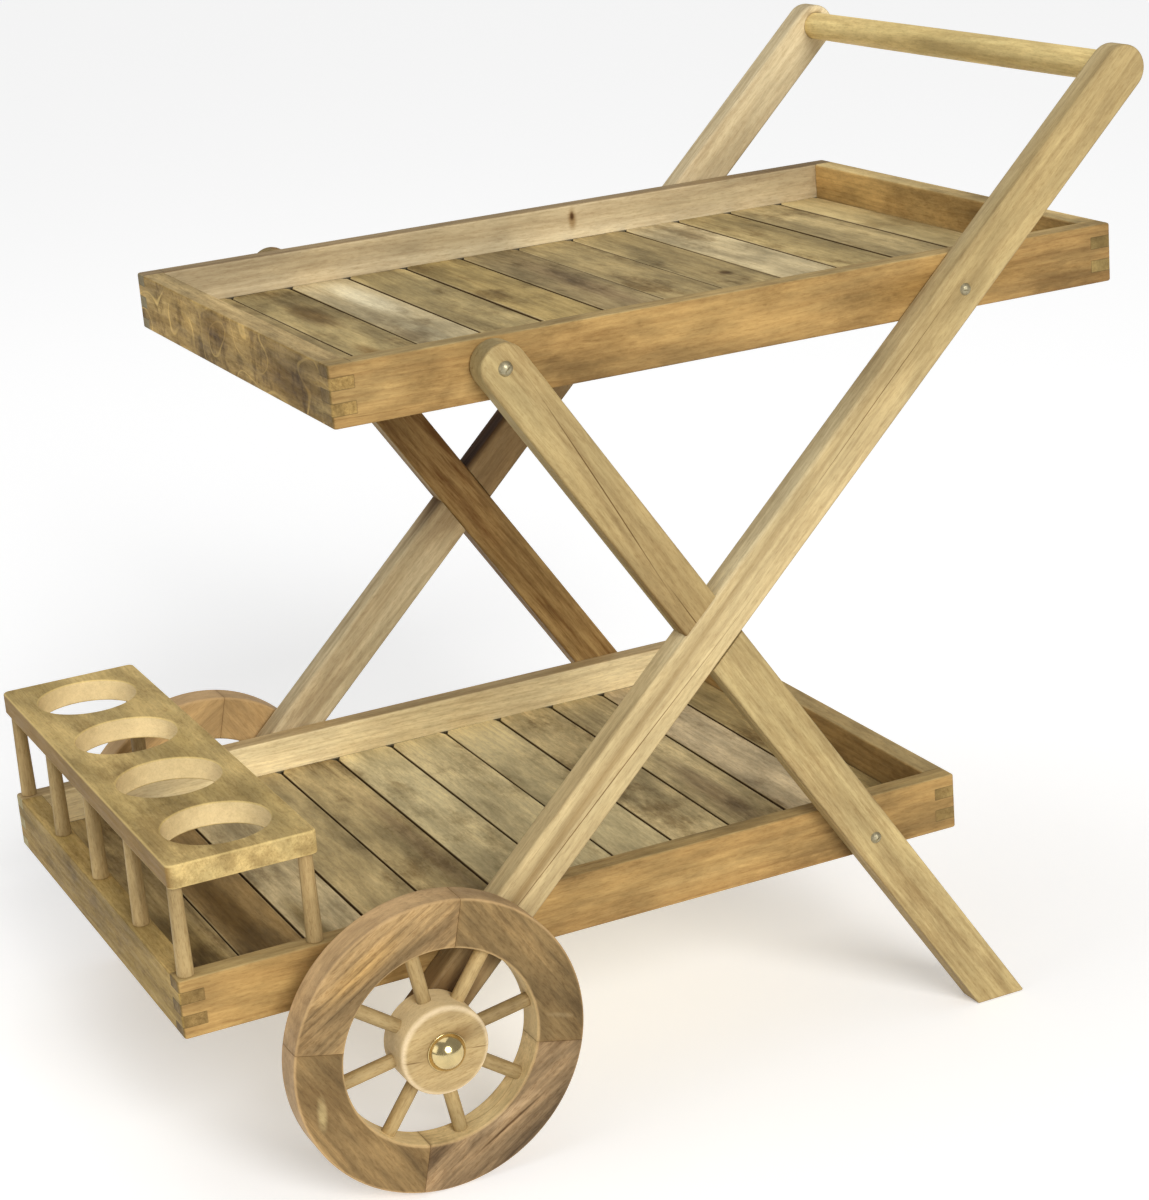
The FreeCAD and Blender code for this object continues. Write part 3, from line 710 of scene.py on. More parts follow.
MARKS = {
    "slat_teak": (
        (27, (-0.030, 0.004, 0.0), (0.015, 0.009, 0.03), 0.0, "knot"),
        (22, (0.115, 0.006, 0.0), (0.12, 0.020, 0.03), 0.0, "smear"),
        (22, (-0.06, -0.006, 0.0), (0.10, 0.016, 0.03), 0.0, "bleach"),
        (21, (0.090, 0.004, 0.0), (0.09, 0.020, 0.03), 0.0, "stain"),
        (21, (-0.10, -0.010, 0.0), (0.07, 0.012, 0.03), 0.0, "stain"),
        (25, (0.02, 0.002, 0.0), (0.20, 0.019, 0.03), 0.0, "soot"),
        (32, (-0.13, 0.0, 0.0), (0.16, 0.03, 0.03), 0.0, "grime"),
        (33, (-0.06, -0.006, 0.0), (0.19, 0.022, 0.03), 0.0, "grime"),
        (34, (-0.15, -0.014, 0.0), (0.12, 0.014, 0.03), 0.0, "grime"),
        (36, (-0.02, 0.012, 0.0), (0.20, 0.012, 0.03), 0.0, "soot"),
        (41, (-0.08, 0.0, 0.0), (0.14, 0.02, 0.03), 0.0, "soot"),
    ),
    "arm_teak": (
        (3, (-0.235, 0.0125, 0.007), (0.30, 0.02, 0.0007), 0.024, "crack"),
        (3, (0.14, 0.0125, -0.004), (0.16, 0.02, 0.0006), -0.02, "crack"),
        (8, (-0.24, 0.0125, 0.008), (0.19, 0.02, 0.0008), 0.075, "crack"),
        (8, (-0.10, 0.0125, 0.014), (0.06, 0.02, 0.0007), 0.02, "crack"),
        (9, (-0.10, 0.0125, -0.004), (0.16, 0.02, 0.0008), 0.03, "crack"),
        (3, (0.42, 0.0125, 0.0), (0.46, 0.02, 0.06), 0.0, "tan"),
        (3, (0.03, 0.0, -0.022), (0.33, 0.03, 0.008), 0.0, "smear"),
        (3, (-0.06, 0.0, -0.022), (0.21, 0.03, 0.008), 0.0, "bleach"),
        # Painted shade: the handle arms darkened round the axle, where they lie behind the wheels
        (3, (-0.4875, 0.0, 0.0), (0.16, 0.05, 0.07), 0.0, "knot"),
        (4, (-0.4875, 0.0, 0.0), (0.16, 0.05, 0.07), 0.0, "knot"),
        # Painted shadow of the upper tray on the far handle arm's upper edge, and painted shade on its face
        # beneath the tray
        (4, (-0.04, 0.0, 0.0215), (0.13, 0.03, 0.008), 0.0, "knot"),
        (4, (-0.03, 0.0, 0.0215), (0.17, 0.03, 0.008), 0.0, "knot"),
        (4, (-0.02, -0.0125, 0.0), (0.17, 0.03, 0.06), 0.0, "stain"),
    ),
    "hub_teak": (
        (71, (0.012, 0.010, 0.0), (0.024, 0.014, 0.06), 0.0, "stain"),
        (71, (0.027, -0.007, 0.0), (0.013, 0.0009, 0.06), -0.3, "crack"),
        (71, (-0.028, 0.004, 0.0), (0.012, 0.0009, 0.06), -0.3, "crack"),
    ),
    "felloe_teak": (
        (52, (-0.034, 0.0185, 0.0), (0.018, 0.007, 0.05), 0.6, "scuff"),
        (50, (-0.058, 0.0015, 0.0), (0.014, 0.004, 0.05), -0.75, "smear"),
        (51, (0.005, 0.016, 0.0), (0.055, 0.014, 0.05), 0.0, "amber"),
        (53, (0.0, 0.003, 0.0), (0.058, 0.006, 0.05), 0.19, "bleach"),
        (53, (-0.018, -0.021, 0.0), (0.065, 0.0022, 0.05), 0.12, "knot"),
        (53, (-0.004, 0.012, 0.0), (0.060, 0.0018, 0.05), 0.045, "knot"),
    ),
    "upper_tray_front_end_teak": (
        (110, (0.15, -0.01, -0.004), (0.11, 0.03, 0.024), 0.0, "grime"),
        (110, (-0.03, -0.01, 0.006), (0.06, 0.03, 0.020), 0.0, "grime"),
        (110, (0.212, -0.01, -0.010), (0.03, 0.03, 0.010), 0.0, "smear"),
        (110, (-0.19, -0.01, 0.004), (0.05, 0.03, 0.015), 0.0, "bleach"),
    ),
    "upper_tray_left_side_teak": (
        (111, (-0.325, -0.01, 0.004), (0.05, 0.02, 0.03), 0.0, "bleach"),
        (111, (-0.215, -0.01, -0.012), (0.07, 0.02, 0.012), 0.0, "bleach"),
        (111, (0.19, -0.01, 0.0), (0.12, 0.02, 0.02), 0.0, "tan"),
    ),
    "lower_tray_left_side_teak": (
        (115, (0.10, -0.01, -0.006), (0.07, 0.02, 0.008), 0.0, "bleach"),
    ),
    "upper_tray_right_side_teak": (
        (112, (0.0, -0.01, -0.002), (0.5, 0.02, 0.013), 0.0, "bleach"),
        (112, (0.068, -0.01, 0.013), (0.006, 0.02, 0.014), 0.0, "stain"),
        (112, (0.068, -0.01, 0.016), (0.003, 0.02, 0.006), 0.0, "knot"),
    ),
}


def piece_wood(name, finish):
    """A finish for the pieces made here, on the log coordinates that they carry."""
    known = bpy.data.materials.get(name)
    if known is not None:
        return known
    material, tree, shader = new_material(name)
    grain, end, tone = (put(tree, "ShaderNodeAttribute", {}, attribute_name=attribute).outputs
                        for attribute in ("grain", "end_grain", "tone"))
    teak(tree, shader, Place(grain["Vector"]), Amount(end["Fac"]), finish, Field(tone["Color"]),
         Amount(tone["Alpha"]), MARKS.get(name, ()))
    return material


# The groove behind the slats, which the side boards darken as painted shade
GROOVE_HEIGHT = -0.0134    # middle of the slats' groove against the middle of a side board
GROOVE_HALF = 0.0061
GROOVE_WALL = 0.004        # wood left outside the groove
FINGER_LINE = (0.05, 0.02) # where the line at a finger's edge ends and where it is full, in fingers
FINGER_FADE = 0.0004
ROOT_LINE = (0.0008, 0.0003)
JOINT_DEPTH = 0.5          # how dark a joint's line is beside the groove
# Tone of the joint lines and of the painted shade in the groove, against the board's shade
JOINT_AND_GROOVE_TONE = 0.2


def joint_lines_and_groove_shade(node, centred, along):
    """Where a board is dark: along the fingers of the joints at its ends, and as painted shade in the groove
    behind the slats. A finger's edges lie every fifth of the board's height, its root one thickness from
    the end."""
    low, high, middle = reach(node)
    wide, deep, tall = (float(size) for size in high - low)
    run, thick = max(wide, deep), min(wide, deep)
    inward = run / 2 - abs(centred.along(along))
    height = centred.along(Z)
    finger = height / (tall / FINGER_COUNT) + FINGER_COUNT / 2
    edge = abs(finger - finger.work("ROUND", finger))
    level = edge.fade(*FINGER_LINE) * inward.fade(thick + FINGER_FADE, thick)
    level *= finger.within(FINGER_COUNT / 2, (FINGER_COUNT - 1) / 2)
    root = abs(inward - thick).fade(*ROOT_LINE)
    odd = (finger / 2.0).fract() > 0.5
    if node.endswith("_end"):
        return level.largest(root * (1.0 - odd)) * JOINT_DEPTH
    depth = centred.along((0.0, -np.sign(middle[1]), 0.0))
    inside = (depth > GROOVE_WALL - thick / 2) * (inward > thick)
    # Painted shade in the groove behind the slats
    behind = height.within(GROOVE_HEIGHT, GROOVE_HALF) * inside
    return (level.largest(root * odd) * JOINT_DEPTH).largest(behind)


def dress(node, material):
    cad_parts[node].material_slots[0].material = material


def node_wood(node, number, finish, shade, marking, top, fingers):
    """A finish for a packed board, on Object coordinates turned so that the grain runs along it. Its top edge
    and finger ends have tints of their own, fine dark lines follow the fingers of its box joints, and on a
    side board the groove behind the slats is darkened as painted shade."""
    material, tree, shader = new_material(node + "_teak")
    turn_z = math.pi / 2 if node.endswith("_end") else 0.0
    along = (math.cos(turn_z), -math.sin(turn_z), 0.0)
    out = (math.sin(turn_z), math.cos(turn_z), 0.0)
    place = put(tree, "ShaderNodeTexCoord", {}).outputs
    normal = Place(place["Normal"])
    centred = Place(place["Object"]) - tuple(reach(node)[2])
    laid = {"Vector": centred, "Rotation": (0.0, 0.0, turn_z), "Location": tuple(log_place(number))}
    grain = Place(put(tree, "ShaderNodeMapping", laid).outputs[0])
    end = abs(normal.along(along))
    plain = np.array(SHADES[shade])
    tone = mix(tree, normal.along(Z).fade(0.5, 0.9), plain, plain * top)
    tone = mix(tree, end.fade(0.5, 0.9), tone, plain * fingers)
    if node.endswith(("_side", "_end")):
        tone = mix(tree, joint_lines_and_groove_shade(node, centred, along), tone, plain * JOINT_AND_GROOVE_TONE)
    flat = abs(normal.along(out)).fade(0.5, 0.9)
    teak(tree, shader, grain, end, finish, tone, marking, MARKS.get(material.name, ()), flat)
    dress(node, material)


def metal(name, rgb, roughness, waves):
    """Metal with faint smudges that change its gloss."""
    material, tree, shader = new_material(name)
    place = Place(put(tree, "ShaderNodeTexCoord", {}).outputs["Object"])
    smudge = place.noise((waves, waves, waves), 3.0, 0.6)
    feed(shader, {
        "Base Color": mix(tree, smudge.fade(0.35, 0.7), rgb, [0.82 * value for value in rgb]),
        "Roughness": smudge.fade(0.3, 0.7, 0.7 * roughness, 1.5 * roughness),
        "Metallic": 1.0,
    })
    return material


# Arms, legs and push bar

ARM_SHADES = {
    "left_handle_arm": "plain",
    "right_handle_arm": "cool",
    "left_leg": "warm",
    "right_leg": "bay",
    "push_bar": "straw",
}
ARM_MARKING = {"left_handle_arm": 1.0, "right_handle_arm": 1.2, "left_leg": 1.5, "right_leg": 2.4}
LEG_HEAD_REACH = 0.03
LOWER_SCREW_HEIGHT = 0.023     # above the underside of the lower tray's side boards
BAR_FULLNESS = 0.0004
CUT_PAST = 0.01                # how far a cut runs past the wood


def unit(way):
    return way / np.linalg.norm(way)


def side_of(way):
    return np.array((-way[1], way[0]))


def crossing(start_a, way_a, start_b, way_b):
    """Where two lines in the XZ plane meet."""
    gap = start_b - start_a
    across = way_a[0] * way_b[1] - way_a[1] * way_b[0]
    return start_a + way_a * ((gap[0] * way_b[1] - gap[1] * way_b[0]) / across)


def band(middle, way, half, run):
    """Corners of a strip through a point, along a way."""
    side = side_of(way) * half
    return [middle + side + way * run, middle - side + way * run, middle - side - way * run,
            middle + side - way * run]


def upright(grid):
    """A slab's outline laid in x and z and its heights along y."""
    return grid[..., [0, 2, 1]]


# Painted shade: 0 to 1 on faces that look down, which take a darker shade
def underside_shade(points, normals):
    return -1.4 * normals[:, 2] - 0.2


def eased(axis):
    """Says where a piece's edges round over, between the faces square to an axis and those along it."""
    def where(points, normals):
        square = np.abs(normals[:, axis])
        return 1.2 * np.minimum(square, np.sqrt(np.clip(1 - square ** 2, 0.0, 1.0)))
    return where


def leg_head(points, normals):
    """1 round a leg's upper end."""
    offset = np.hypot(points[:, 0] - PIVOT[0], points[:, 2] - PIVOT[1])
    return (offset < LEG_HEAD_REACH) * (1.0 - 1.4 * np.abs(normals[:, 1])) * (points[:, 0] < PIVOT[0])


def leg_outline(way, half, sizes):
    """A strip with a round head about the pivot, cut level at the floor."""
    side = side_of(way) * half
    head = PIVOT - way * half
    feet = [start + way * (-start[1] / way[1]) for start in (PIVOT + side, PIVOT - side)]
    edge, tip = sizes.arm_edge, sizes.foot_edge
    radii = [half, half, 1.2 * tip, 1.2 * tip]
    return rounded_outline([head - side, head + side, *feet], radii, [edge, edge, tip, tip], steps=16)


class TROLLEY_OT_arms(bpy.types.Operator):
    """Handle arms and legs, halved into each other where they cross"""

    bl_idname = "trolley.arms"
    bl_label = "Arms and legs"

    def execute(self, context):
        settings = context.scene.trolley
        sizes = settings.sizes
        material = piece_wood("arm_teak", settings.arm_wood)
        foot = np.array((PIVOT[0] + sizes.leg_run, 0.0))
        handle_way, leg_way = unit(BAR - AXLE), unit(foot - PIVOT)
        meet = crossing(AXLE, handle_way, PIVOT, leg_way)
        half = reach("left_handle_arm")[1][2] - BAR[1]
        corners = band((AXLE + BAR) / 2, handle_way, half, np.linalg.norm(BAR - AXLE) / 2 + half)
        handle = rounded_outline(corners, [half] * 4, [sizes.arm_edge] * 4, steps=16)
        leg = leg_outline(leg_way, half, sizes)
        bar_radius = reach("push_bar")[1][2] - BAR[1]
        screw_height = reach("lower_tray_left_side")[0][2] + LOWER_SCREW_HEIGHT
        lower_screw = AXLE + handle_way * ((screw_height - AXLE[1]) / handle_way[1])
        gap, lap = half + sizes.lap_gap, 4 * half
        for name, sign in SIDES:
            low, high, middle = reach(name + "_handle_arm")
            inner, outer = (low[1], high[1]) if sign > 0 else (high[1], low[1])
            past = CUT_PAST * sign
            socket = sign * abs(reach("push_bar")[1][1])
            handle_cuts = [
                prism(band(meet, leg_way, gap, lap), middle[1], inner - past),
                bored(AXLE, sizes.axle_radius + sizes.axle_gap, inner - past, outer + past),
                bored(BAR, bar_radius, inner - past, socket),
                bored(lower_screw, sizes.recess_radius, outer - sign * sizes.screw_recess, outer + past),
            ]
            leg_cuts = [prism(band(meet, handle_way, gap, lap), middle[1], outer + past)]
            for node, outline, way, cuts, wear_and_shade in (
                (name + "_handle_arm", handle, handle_way, handle_cuts, [(underside_shade, "dark_joint_and_shade")]),
                (name + "_leg", leg, leg_way, leg_cuts, [(underside_shade, "dark_joint_and_shade"), (leg_head, "drab")]),
            ):
                blank = mesh_from([shell(upright(soft_slab(outline, low[1], high[1])))])
                mesh = carve(blank, cuts)
                wood = sawn(mesh, node, (way[0], 0.0, way[1]), (0.0, sign, 0.0), LOG_NUMBERS[node])
                finish_piece(mesh, node, "frame", material, wood, ARM_SHADES[node], wear_and_shade,
                             ARM_MARKING[node])
        return {"FINISHED"}


class TROLLEY_OT_push_bar(bpy.types.Operator):
    """Round push bar, a little fuller in the middle"""

    bl_idname = "trolley.push_bar"
    bl_label = "Push bar"

    def execute(self, context):
        node = "push_bar"
        low, high, middle = reach(node)
        t = np.linspace(-1, 1, 33)
        radius = (high[2] - low[2]) / 2 - BAR_FULLNESS * t ** 2
        profile = np.stack([radius, (high[1] - low[1]) / 2 * t], axis=1)
        mesh = mesh_from([shell(turned(profile, middle, Y, around=56))])
        material = piece_wood("arm_teak", context.scene.trolley.arm_wood)
        wood = sawn(mesh, node, Y, Z, LOG_NUMBERS[node])
        finish_piece(mesh, node, "frame", material, wood, ARM_SHADES[node])
        return {"FINISHED"}


# Slats

SLAT_SHADES = {
    "upper": "dark warm cool warm tobacco grey dark dark cool warm plain light".split(),
    "lower": "dark umber cool plain plain silvery silvery silvery pale pale cream warm".split(),
}
SLAT_MARKING = {
    "upper": (1.2, 1.1, 0.9, 1.2, 1.1, 1.3, 1.2, 1.4, 1.0, 1.2, 1.1, 0.7),
    "lower": (1.7, 1.4, 1.4, 1.1, 1.0, 0.9, 0.9, 0.9, 1.1, 1.6, 1.1, 1.2),
}
SLAT_UNDERSIDE_EASE = 0.0003


def shaded_slat_sides(points, normals):
    """1 on a slat's upright sides, which are darkened as painted shade in the gaps between slats."""
    return 1.6 * np.abs(normals[:, 0]) - 0.6


def slat_edges(points, normals):
    """1 where a slat's top rounds over into its sides."""
    return 1.3 * np.minimum(np.abs(normals[:, 0]), np.abs(normals[:, 2]))


def slat_grid(node, number, sizes):
    """A rounded section of x and z carried along y. Its width narrows towards the tips, its top drops at the
    tongues, and between them both edges and the top wander on slow sine waves."""
    low, high, middle = reach(node)
    half, thick = (high[0] - low[0]) / 2, high[2] - low[2]
    tip, shoulder = high[1], high[1] - sizes.shoulder
    cut = shoulder - sizes.slat_corner_length
    y = np.concatenate([(-tip, -shoulder, -shoulder), np.linspace(-cut, cut, 25), (shoulder, shoulder, tip)])
    tongue = np.zeros(len(y))
    tongue[[0, 1, -2, -1]] = sizes.tongue_drop
    narrow = sizes.slat_corner * np.clip((np.abs(y) - cut) / (shoulder - cut), 0.0, 1.0)
    wave = number * 1.7
    left = -half + narrow + sizes.slat_wander * (1 + np.sin(9 * y + wave)) / 2
    right = half - narrow - sizes.slat_wander * (1 + np.sin(7 * y + 2.3 * wave)) / 2
    sink = sizes.slat_wander * (1 + np.sin(6 * y + 0.7 * wave)) / 2
    tilt = sizes.slat_wander * math.sin(3.1 * wave)
    under, ease = SLAT_UNDERSIDE_EASE, sizes.slat_ease
    corners = [(-half, 0.0), (half, 0.0), (half, thick), (-half, thick)]
    points = rounded_outline(corners, [under, under, ease, ease], [0.0] * 4, steps=6)[0]
    u = points[None, :, 0] / half
    v = points[None, :, 1] / thick
    x = middle[0] + (left[:, None] * (1 - u) + right[:, None] * (1 + u)) / 2
    top = thick - tongue[:, None] - sink[:, None] - np.abs(tilt) * (1 + np.sign(tilt) * u) / 2
    return np.stack(np.broadcast_arrays(x, y[:, None], low[2] + v * top), axis=-1)


class TROLLEY_OT_slats(bpy.types.Operator):
    """Slats of both trays, with tongues, cut corners and slightly uneven edges"""

    bl_idname = "trolley.slats"
    bl_label = "Slats"

    def execute(self, context):
        settings = context.scene.trolley
        material = piece_wood("slat_teak", settings.slat_wood)
        wear_and_shade = [(slat_edges, "pale"), (shaded_slat_sides, "painted_gap_shade")]
        for tray in TRAYS:
            for place in range(SLAT_COUNT):
                node = "%s_slat_%02d" % (tray, place + 1)
                number = LOG_NUMBERS[tray + "_slat"] + place
                mesh = mesh_from([shell(slat_grid(node, number, settings.sizes))])
                finish_piece(mesh, node, "frame", material, sawn(mesh, node, Y, X, number),
                             SLAT_SHADES[tray][place], wear_and_shade, SLAT_MARKING[tray][place])
        return {"FINISHED"}


# Wheels

FELLOE_SHADES = {"left": ("drab", "light", "drab", "ashen"), "right": ("light", "light", "light", "light")}
FELLOE_MARKING = {"left": (0.9, 1.0, 0.8, 1.5), "right": (0.5, 0.5, 0.5, 0.5)}
HUB_GRAIN = (1.0, 0.0, 0.15)
HUB_RIM = 0.02             # radius past which a hub's edge counts as its nose
SPOKE_TAPER = 0.0005
CAP_GAP = 0.0003
CAP_LIP = 0.0005
CAP_CROWN = 0.012          # angle at which a cap's dome closes


def radial(points, normals):
    """How far a point of a wheel faces straight away from its axle or, below 0, towards it."""
    offset = points - np.insert(AXLE, 1, 0.0)
    offset[:, 1] = 0.0
    return np.sum(offset * normals, axis=1) / np.linalg.norm(offset, axis=1)


def inner_rim(points, normals):
    return -1.5 * radial(points, normals) - 0.3


def tread(points, normals):
    return np.clip(1.4 * radial(points, normals) - 0.3, 0.0, 0.8)


def felloe_edge(points, normals):
    """1 where a rim's flat side rounds over into its tread or its inside."""
    return 1.2 * np.minimum(np.abs(normals[:, 1]), np.abs(radial(points, normals)))


def felloe_joint(points, normals):
    """1 where two felloes meet."""
    around = 1 - normals[:, 1] ** 2 - radial(points, normals) ** 2
    return 2.0 * np.sqrt(np.clip(around, 0.0, 1.0)) - 0.6


def hub_nose(points, normals):
    """1 where a hub's outside rounds over, which the wheels lighten as a painted highlight."""
    outside = np.hypot(points[:, 0] - AXLE[0], points[:, 2] - AXLE[1]) > HUB_RIM
    return 0.8 * outside * eased(1)(points, normals)


def felloe(node, place, sizes, number):
    """A rounded section of radius and y carried along a quarter of the rim, drawn in at both ends."""
    low, high = reach(node)[:2]
    outer = AXLE[1]
    inner = outer - sizes.felloe_depth
    corners = [(inner, low[1]), (outer, low[1]), (outer, high[1]), (inner, high[1])]
    section, normals, _ = rounded_outline(corners, [sizes.felloe_edge] * 4, [0.0] * 4, steps=7)
    sweep = 2 * math.pi / FELLOE_COUNT
    start = sizes.first_joint + place * sweep
    ease = sizes.felloe_end / outer
    angle = start + np.concatenate([(0.0,), np.linspace(ease, sweep - ease, 49), (sweep,)])
    inset = np.zeros(len(angle))
    inset[[0, -1]] = sizes.felloe_end
    ring = section[None] - normals[None] * inset[:, None, None]
    x = AXLE[0] + ring[..., 0] * np.cos(angle)[:, None]
    z = AXLE[1] + ring[..., 0] * np.sin(angle)[:, None]
    mesh = mesh_from([shell(np.stack([x, ring[..., 1], z], axis=-1))])
    cos, sin = math.cos(start + sweep / 2), math.sin(start + sweep / 2)
    return mesh, sawn(mesh, node, (-sin, 0.0, cos), (cos, 0.0, sin), number)


def hub_grid(node, sign, sizes):
    """A closed profile with a rounded nose and back, turned about the axle."""
    low, high = reach(node)[:2]
    radius = high[2] - AXLE[1]
    bore = sizes.axle_radius + sizes.axle_gap
    run = high[1] - low[1]
    nose, back = sizes.hub_nose, sizes.hub_back
    profile = np.concatenate([
        [(bore, 0.0)],
        quarter(radius - back, back, back, -90, 0),
        quarter(radius - nose, run - nose, nose, 0, 90, steps=9),
        [(bore, run)],
    ])
    start = low[1] if sign > 0 else high[1]
    return turned(profile, (AXLE[0], start, AXLE[1]), (0.0, sign, 0.0), around=96)


def spokes(name, sizes):
    """Dowels from hub to rim, a shade thinner at both ends, in one mesh."""
    start = reach(name + "_wheel_hub")[1][2] - AXLE[1] - sizes.spoke_tenon
    stop = AXLE[1] - sizes.felloe_depth + sizes.spoke_tenon
    t = np.linspace(0, 1, 13)
    radius = sizes.spoke_radius - SPOKE_TAPER * (2 * t - 1) ** 4
    profile = np.stack([radius, start + t * (stop - start)], axis=1)
    centre = np.array((AXLE[0], reach(name + "_felloe_1")[2][1], AXLE[1]))
    angles = sizes.first_spoke + np.arange(SPOKE_COUNT) * 2 * math.pi / SPOKE_COUNT
    pins = [(centre, (math.cos(angle), 0.0, math.sin(angle)), centre) for angle in angles]
    return dowels(profile, pins, Y, LOG_NUMBERS["spoke"], around=28)


class TROLLEY_OT_wheels(bpy.types.Operator):
    """Both wheels: turned hubs, dowel spokes and rims of four felloes"""

    bl_idname = "trolley.wheels"
    bl_label = "Wheels"

    def execute(self, context):
        settings = context.scene.trolley
        sizes = settings.sizes
        rim_wood = piece_wood("felloe_teak", settings.felloe_wood)
        hub_wood = piece_wood("hub_teak", settings.hub_wood)
        wear_and_shade = [(inner_rim, "chalky"), (tread, "cool"), (felloe_edge, "plain"), (felloe_joint, "dark_joint_and_shade")]
        for name, sign in SIDES:
            body = name + "_wheel"
            for place in range(FELLOE_COUNT):
                node = "%s_felloe_%d" % (name, place + 1)
                mesh, wood = felloe(node, place, sizes, LOG_NUMBERS[name + "_felloe"] + place)
                finish_piece(mesh, node, body, rim_wood, wood, FELLOE_SHADES[name][place],
                             wear_and_shade, FELLOE_MARKING[name][place])
            node = name + "_wheel_hub"
            mesh = mesh_from([shell(hub_grid(node, sign, sizes), joined=True)])
            wood = sawn(mesh, node, HUB_GRAIN, Z, LOG_NUMBERS[node])
            # The hub's rounded nose is lightened to cream as a painted highlight
            finish_piece(mesh, node, body, hub_wood, wood, "dark",
                         [(tread, "pale"), (hub_nose, "cream")])
            mesh, wood = spokes(name, sizes)
            finish_piece(mesh, name + "_wheel_spokes", body, hub_wood, wood, "dark")
        return {"FINISHED"}


class TROLLEY_OT_hub_caps(bpy.types.Operator):
    """Domed brass caps on the stub axles' ends"""

    bl_idname = "trolley.hub_caps"
    bl_label = "Hub caps"

    def execute(self, context):
        settings = context.scene.trolley
        sizes = settings.sizes
        low, high = reach("hub_caps")[:2]
        radius = (high[2] - low[2]) / 2
        seat = reach("left_wheel_hub")[0][1]
        height = seat - low[1] - CAP_GAP
        dome = radius - sizes.cap_brim_width
        rise = height - sizes.cap_brim
        ball = (dome ** 2 + rise ** 2) / (2 * rise)
        t = np.linspace(math.asin(min(1.0, dome / ball)), CAP_CROWN, 28)
        profile = np.concatenate([
            [(sizes.axle_radius, 0.0), (radius - CAP_LIP, 0.0)],
            quarter(radius - CAP_LIP, CAP_LIP, CAP_LIP, -90, 0, steps=5),
            quarter(radius - CAP_LIP, sizes.cap_brim - CAP_LIP, CAP_LIP, 0, 90, steps=5),
            np.stack([ball * np.sin(t), height - ball * (1 - np.cos(t))], axis=1),
        ])
        shells = []
        for name, sign in SIDES:
            origin = (AXLE[0], sign * (abs(seat) + CAP_GAP), AXLE[1])
            shells.append(shell(turned(profile, origin, (0.0, sign, 0.0), around=72)))
        brass = metal("cap_brass", settings.metals.brass, roughness=0.15, waves=90.0)
        finish_piece(mesh_from(shells), "hub_caps", "frame", brass)
        return {"FINISHED"}


# Bottle rack

# The rack board's front edge is darkened over this depth as painted shade
RACK_FRONT = 0.007         # depth of the rack board's front that darkens
SPINDLE_EASE = 0.0008


def shaded_front_edge(points, normals):
    """1 on the rack board's outer front edge, which is darkened as painted shade."""
    return (points[:, 0] < reach("rack_board")[0][0] + RACK_FRONT) * (-1.5 * normals[:, 0] - 0.2)


def hole_walls(points, normals):
    """1 on upright walls within the row of bottle holes, 0 on the board's faces and outer edges."""
    low, high, middle = reach("rack_board")
    inside = np.abs(points[:, 0] - middle[0]) < 0.4 * (high[0] - low[0])
    inside &= np.abs(points[:, 1]) < 0.97 * high[1]
    return inside * (1.2 - 1.6 * np.abs(normals[:, 2]))


def rack_board(sizes):
    """A slab with rounded corners and edges, less a row of spools that flare at both ends."""
    low, high, middle = reach("rack_board")
    corners = [(low[0], low[1]), (high[0], low[1]), (high[0], high[1]), (low[0], high[1])]
    outline = rounded_outline(corners, [sizes.rack_corner] * 4, [sizes.rack_edge] * 4, steps=9)
    blank = mesh_from([shell(soft_slab(outline, low[2], high[2]))])
    radius, ease = sizes.bottle_radius, sizes.bottle_ease
    run = high[2] - low[2]
    spool = np.concatenate([
        [(radius + 2 * ease, -ease)],
        quarter(radius + ease, ease, ease, 270, 180, steps=6),
        quarter(radius + ease, run - ease, ease, 180, 90, steps=6),
        [(radius + 2 * ease, run + ease)],
    ])
    offsets = (np.arange(BOTTLE_COUNT) - (BOTTLE_COUNT - 1) / 2) * sizes.bottle_pitch
    return carve(blank, [shell(turned(spool, (middle[0], y, low[2]), Z, around=96)) for y in offsets])


def rack_spindles(sizes):
    """Tapered pins with an eased foot: one between and beside the holes in front, and two behind."""
    low, high = reach("rack_spindles")[:2]
    foot = reach("lower_tray_front_end")[1][2]
    top = reach("rack_board")[0][2]
    inset, ease = sizes.spindle_foot, SPINDLE_EASE
    profile = np.concatenate([
        [(inset - ease, foot)],
        quarter(inset - ease, foot + ease, ease, -90, 0, steps=4),
        [(sizes.spindle_top, top)],
    ])
    ends = (low[1] + inset, high[1] - inset)
    spots = [(low[0] + inset, y) for y in np.linspace(*ends, BOTTLE_COUNT + 1)]
    spots += [(high[0] - inset, y) for y in ends]
    pins = [((x, y, 0.0), Z, np.array((x, y, top))) for x, y in spots]
    return dowels(profile, pins, X, LOG_NUMBERS["rack_spindle"], around=32)


class TROLLEY_OT_bottle_rack(bpy.types.Operator):
    """Bottle rack: a rounded board with four eased holes, on seven tapered spindles"""

    bl_idname = "trolley.bottle_rack"
    bl_label = "Bottle rack"

    def execute(self, context):
        settings = context.scene.trolley
        node = "rack_board"
        mesh = rack_board(settings.sizes)
        material = piece_wood("rack_teak", settings.rack_wood)
        # The board's front edge is darkened as painted shade
        # The eased edges are lightened, partly as wear and partly as a painted highlight
        finish_piece(mesh, node, "frame", material, sawn(mesh, node, Y, X, LOG_NUMBERS[node]),
                     "plain", [(hole_walls, "cream"), (shaded_front_edge, "dark_joint_and_shade"), (eased(2), "light")])
        mesh, wood = rack_spindles(settings.sizes)
        material = piece_wood("spindle_teak", settings.hub_wood)
        finish_piece(mesh, "rack_spindles", "frame", material, wood, "dark")
        return {"FINISHED"}


# Tray boards: number in the log, finish, shade, strength of marking, tints of top edge and finger ends

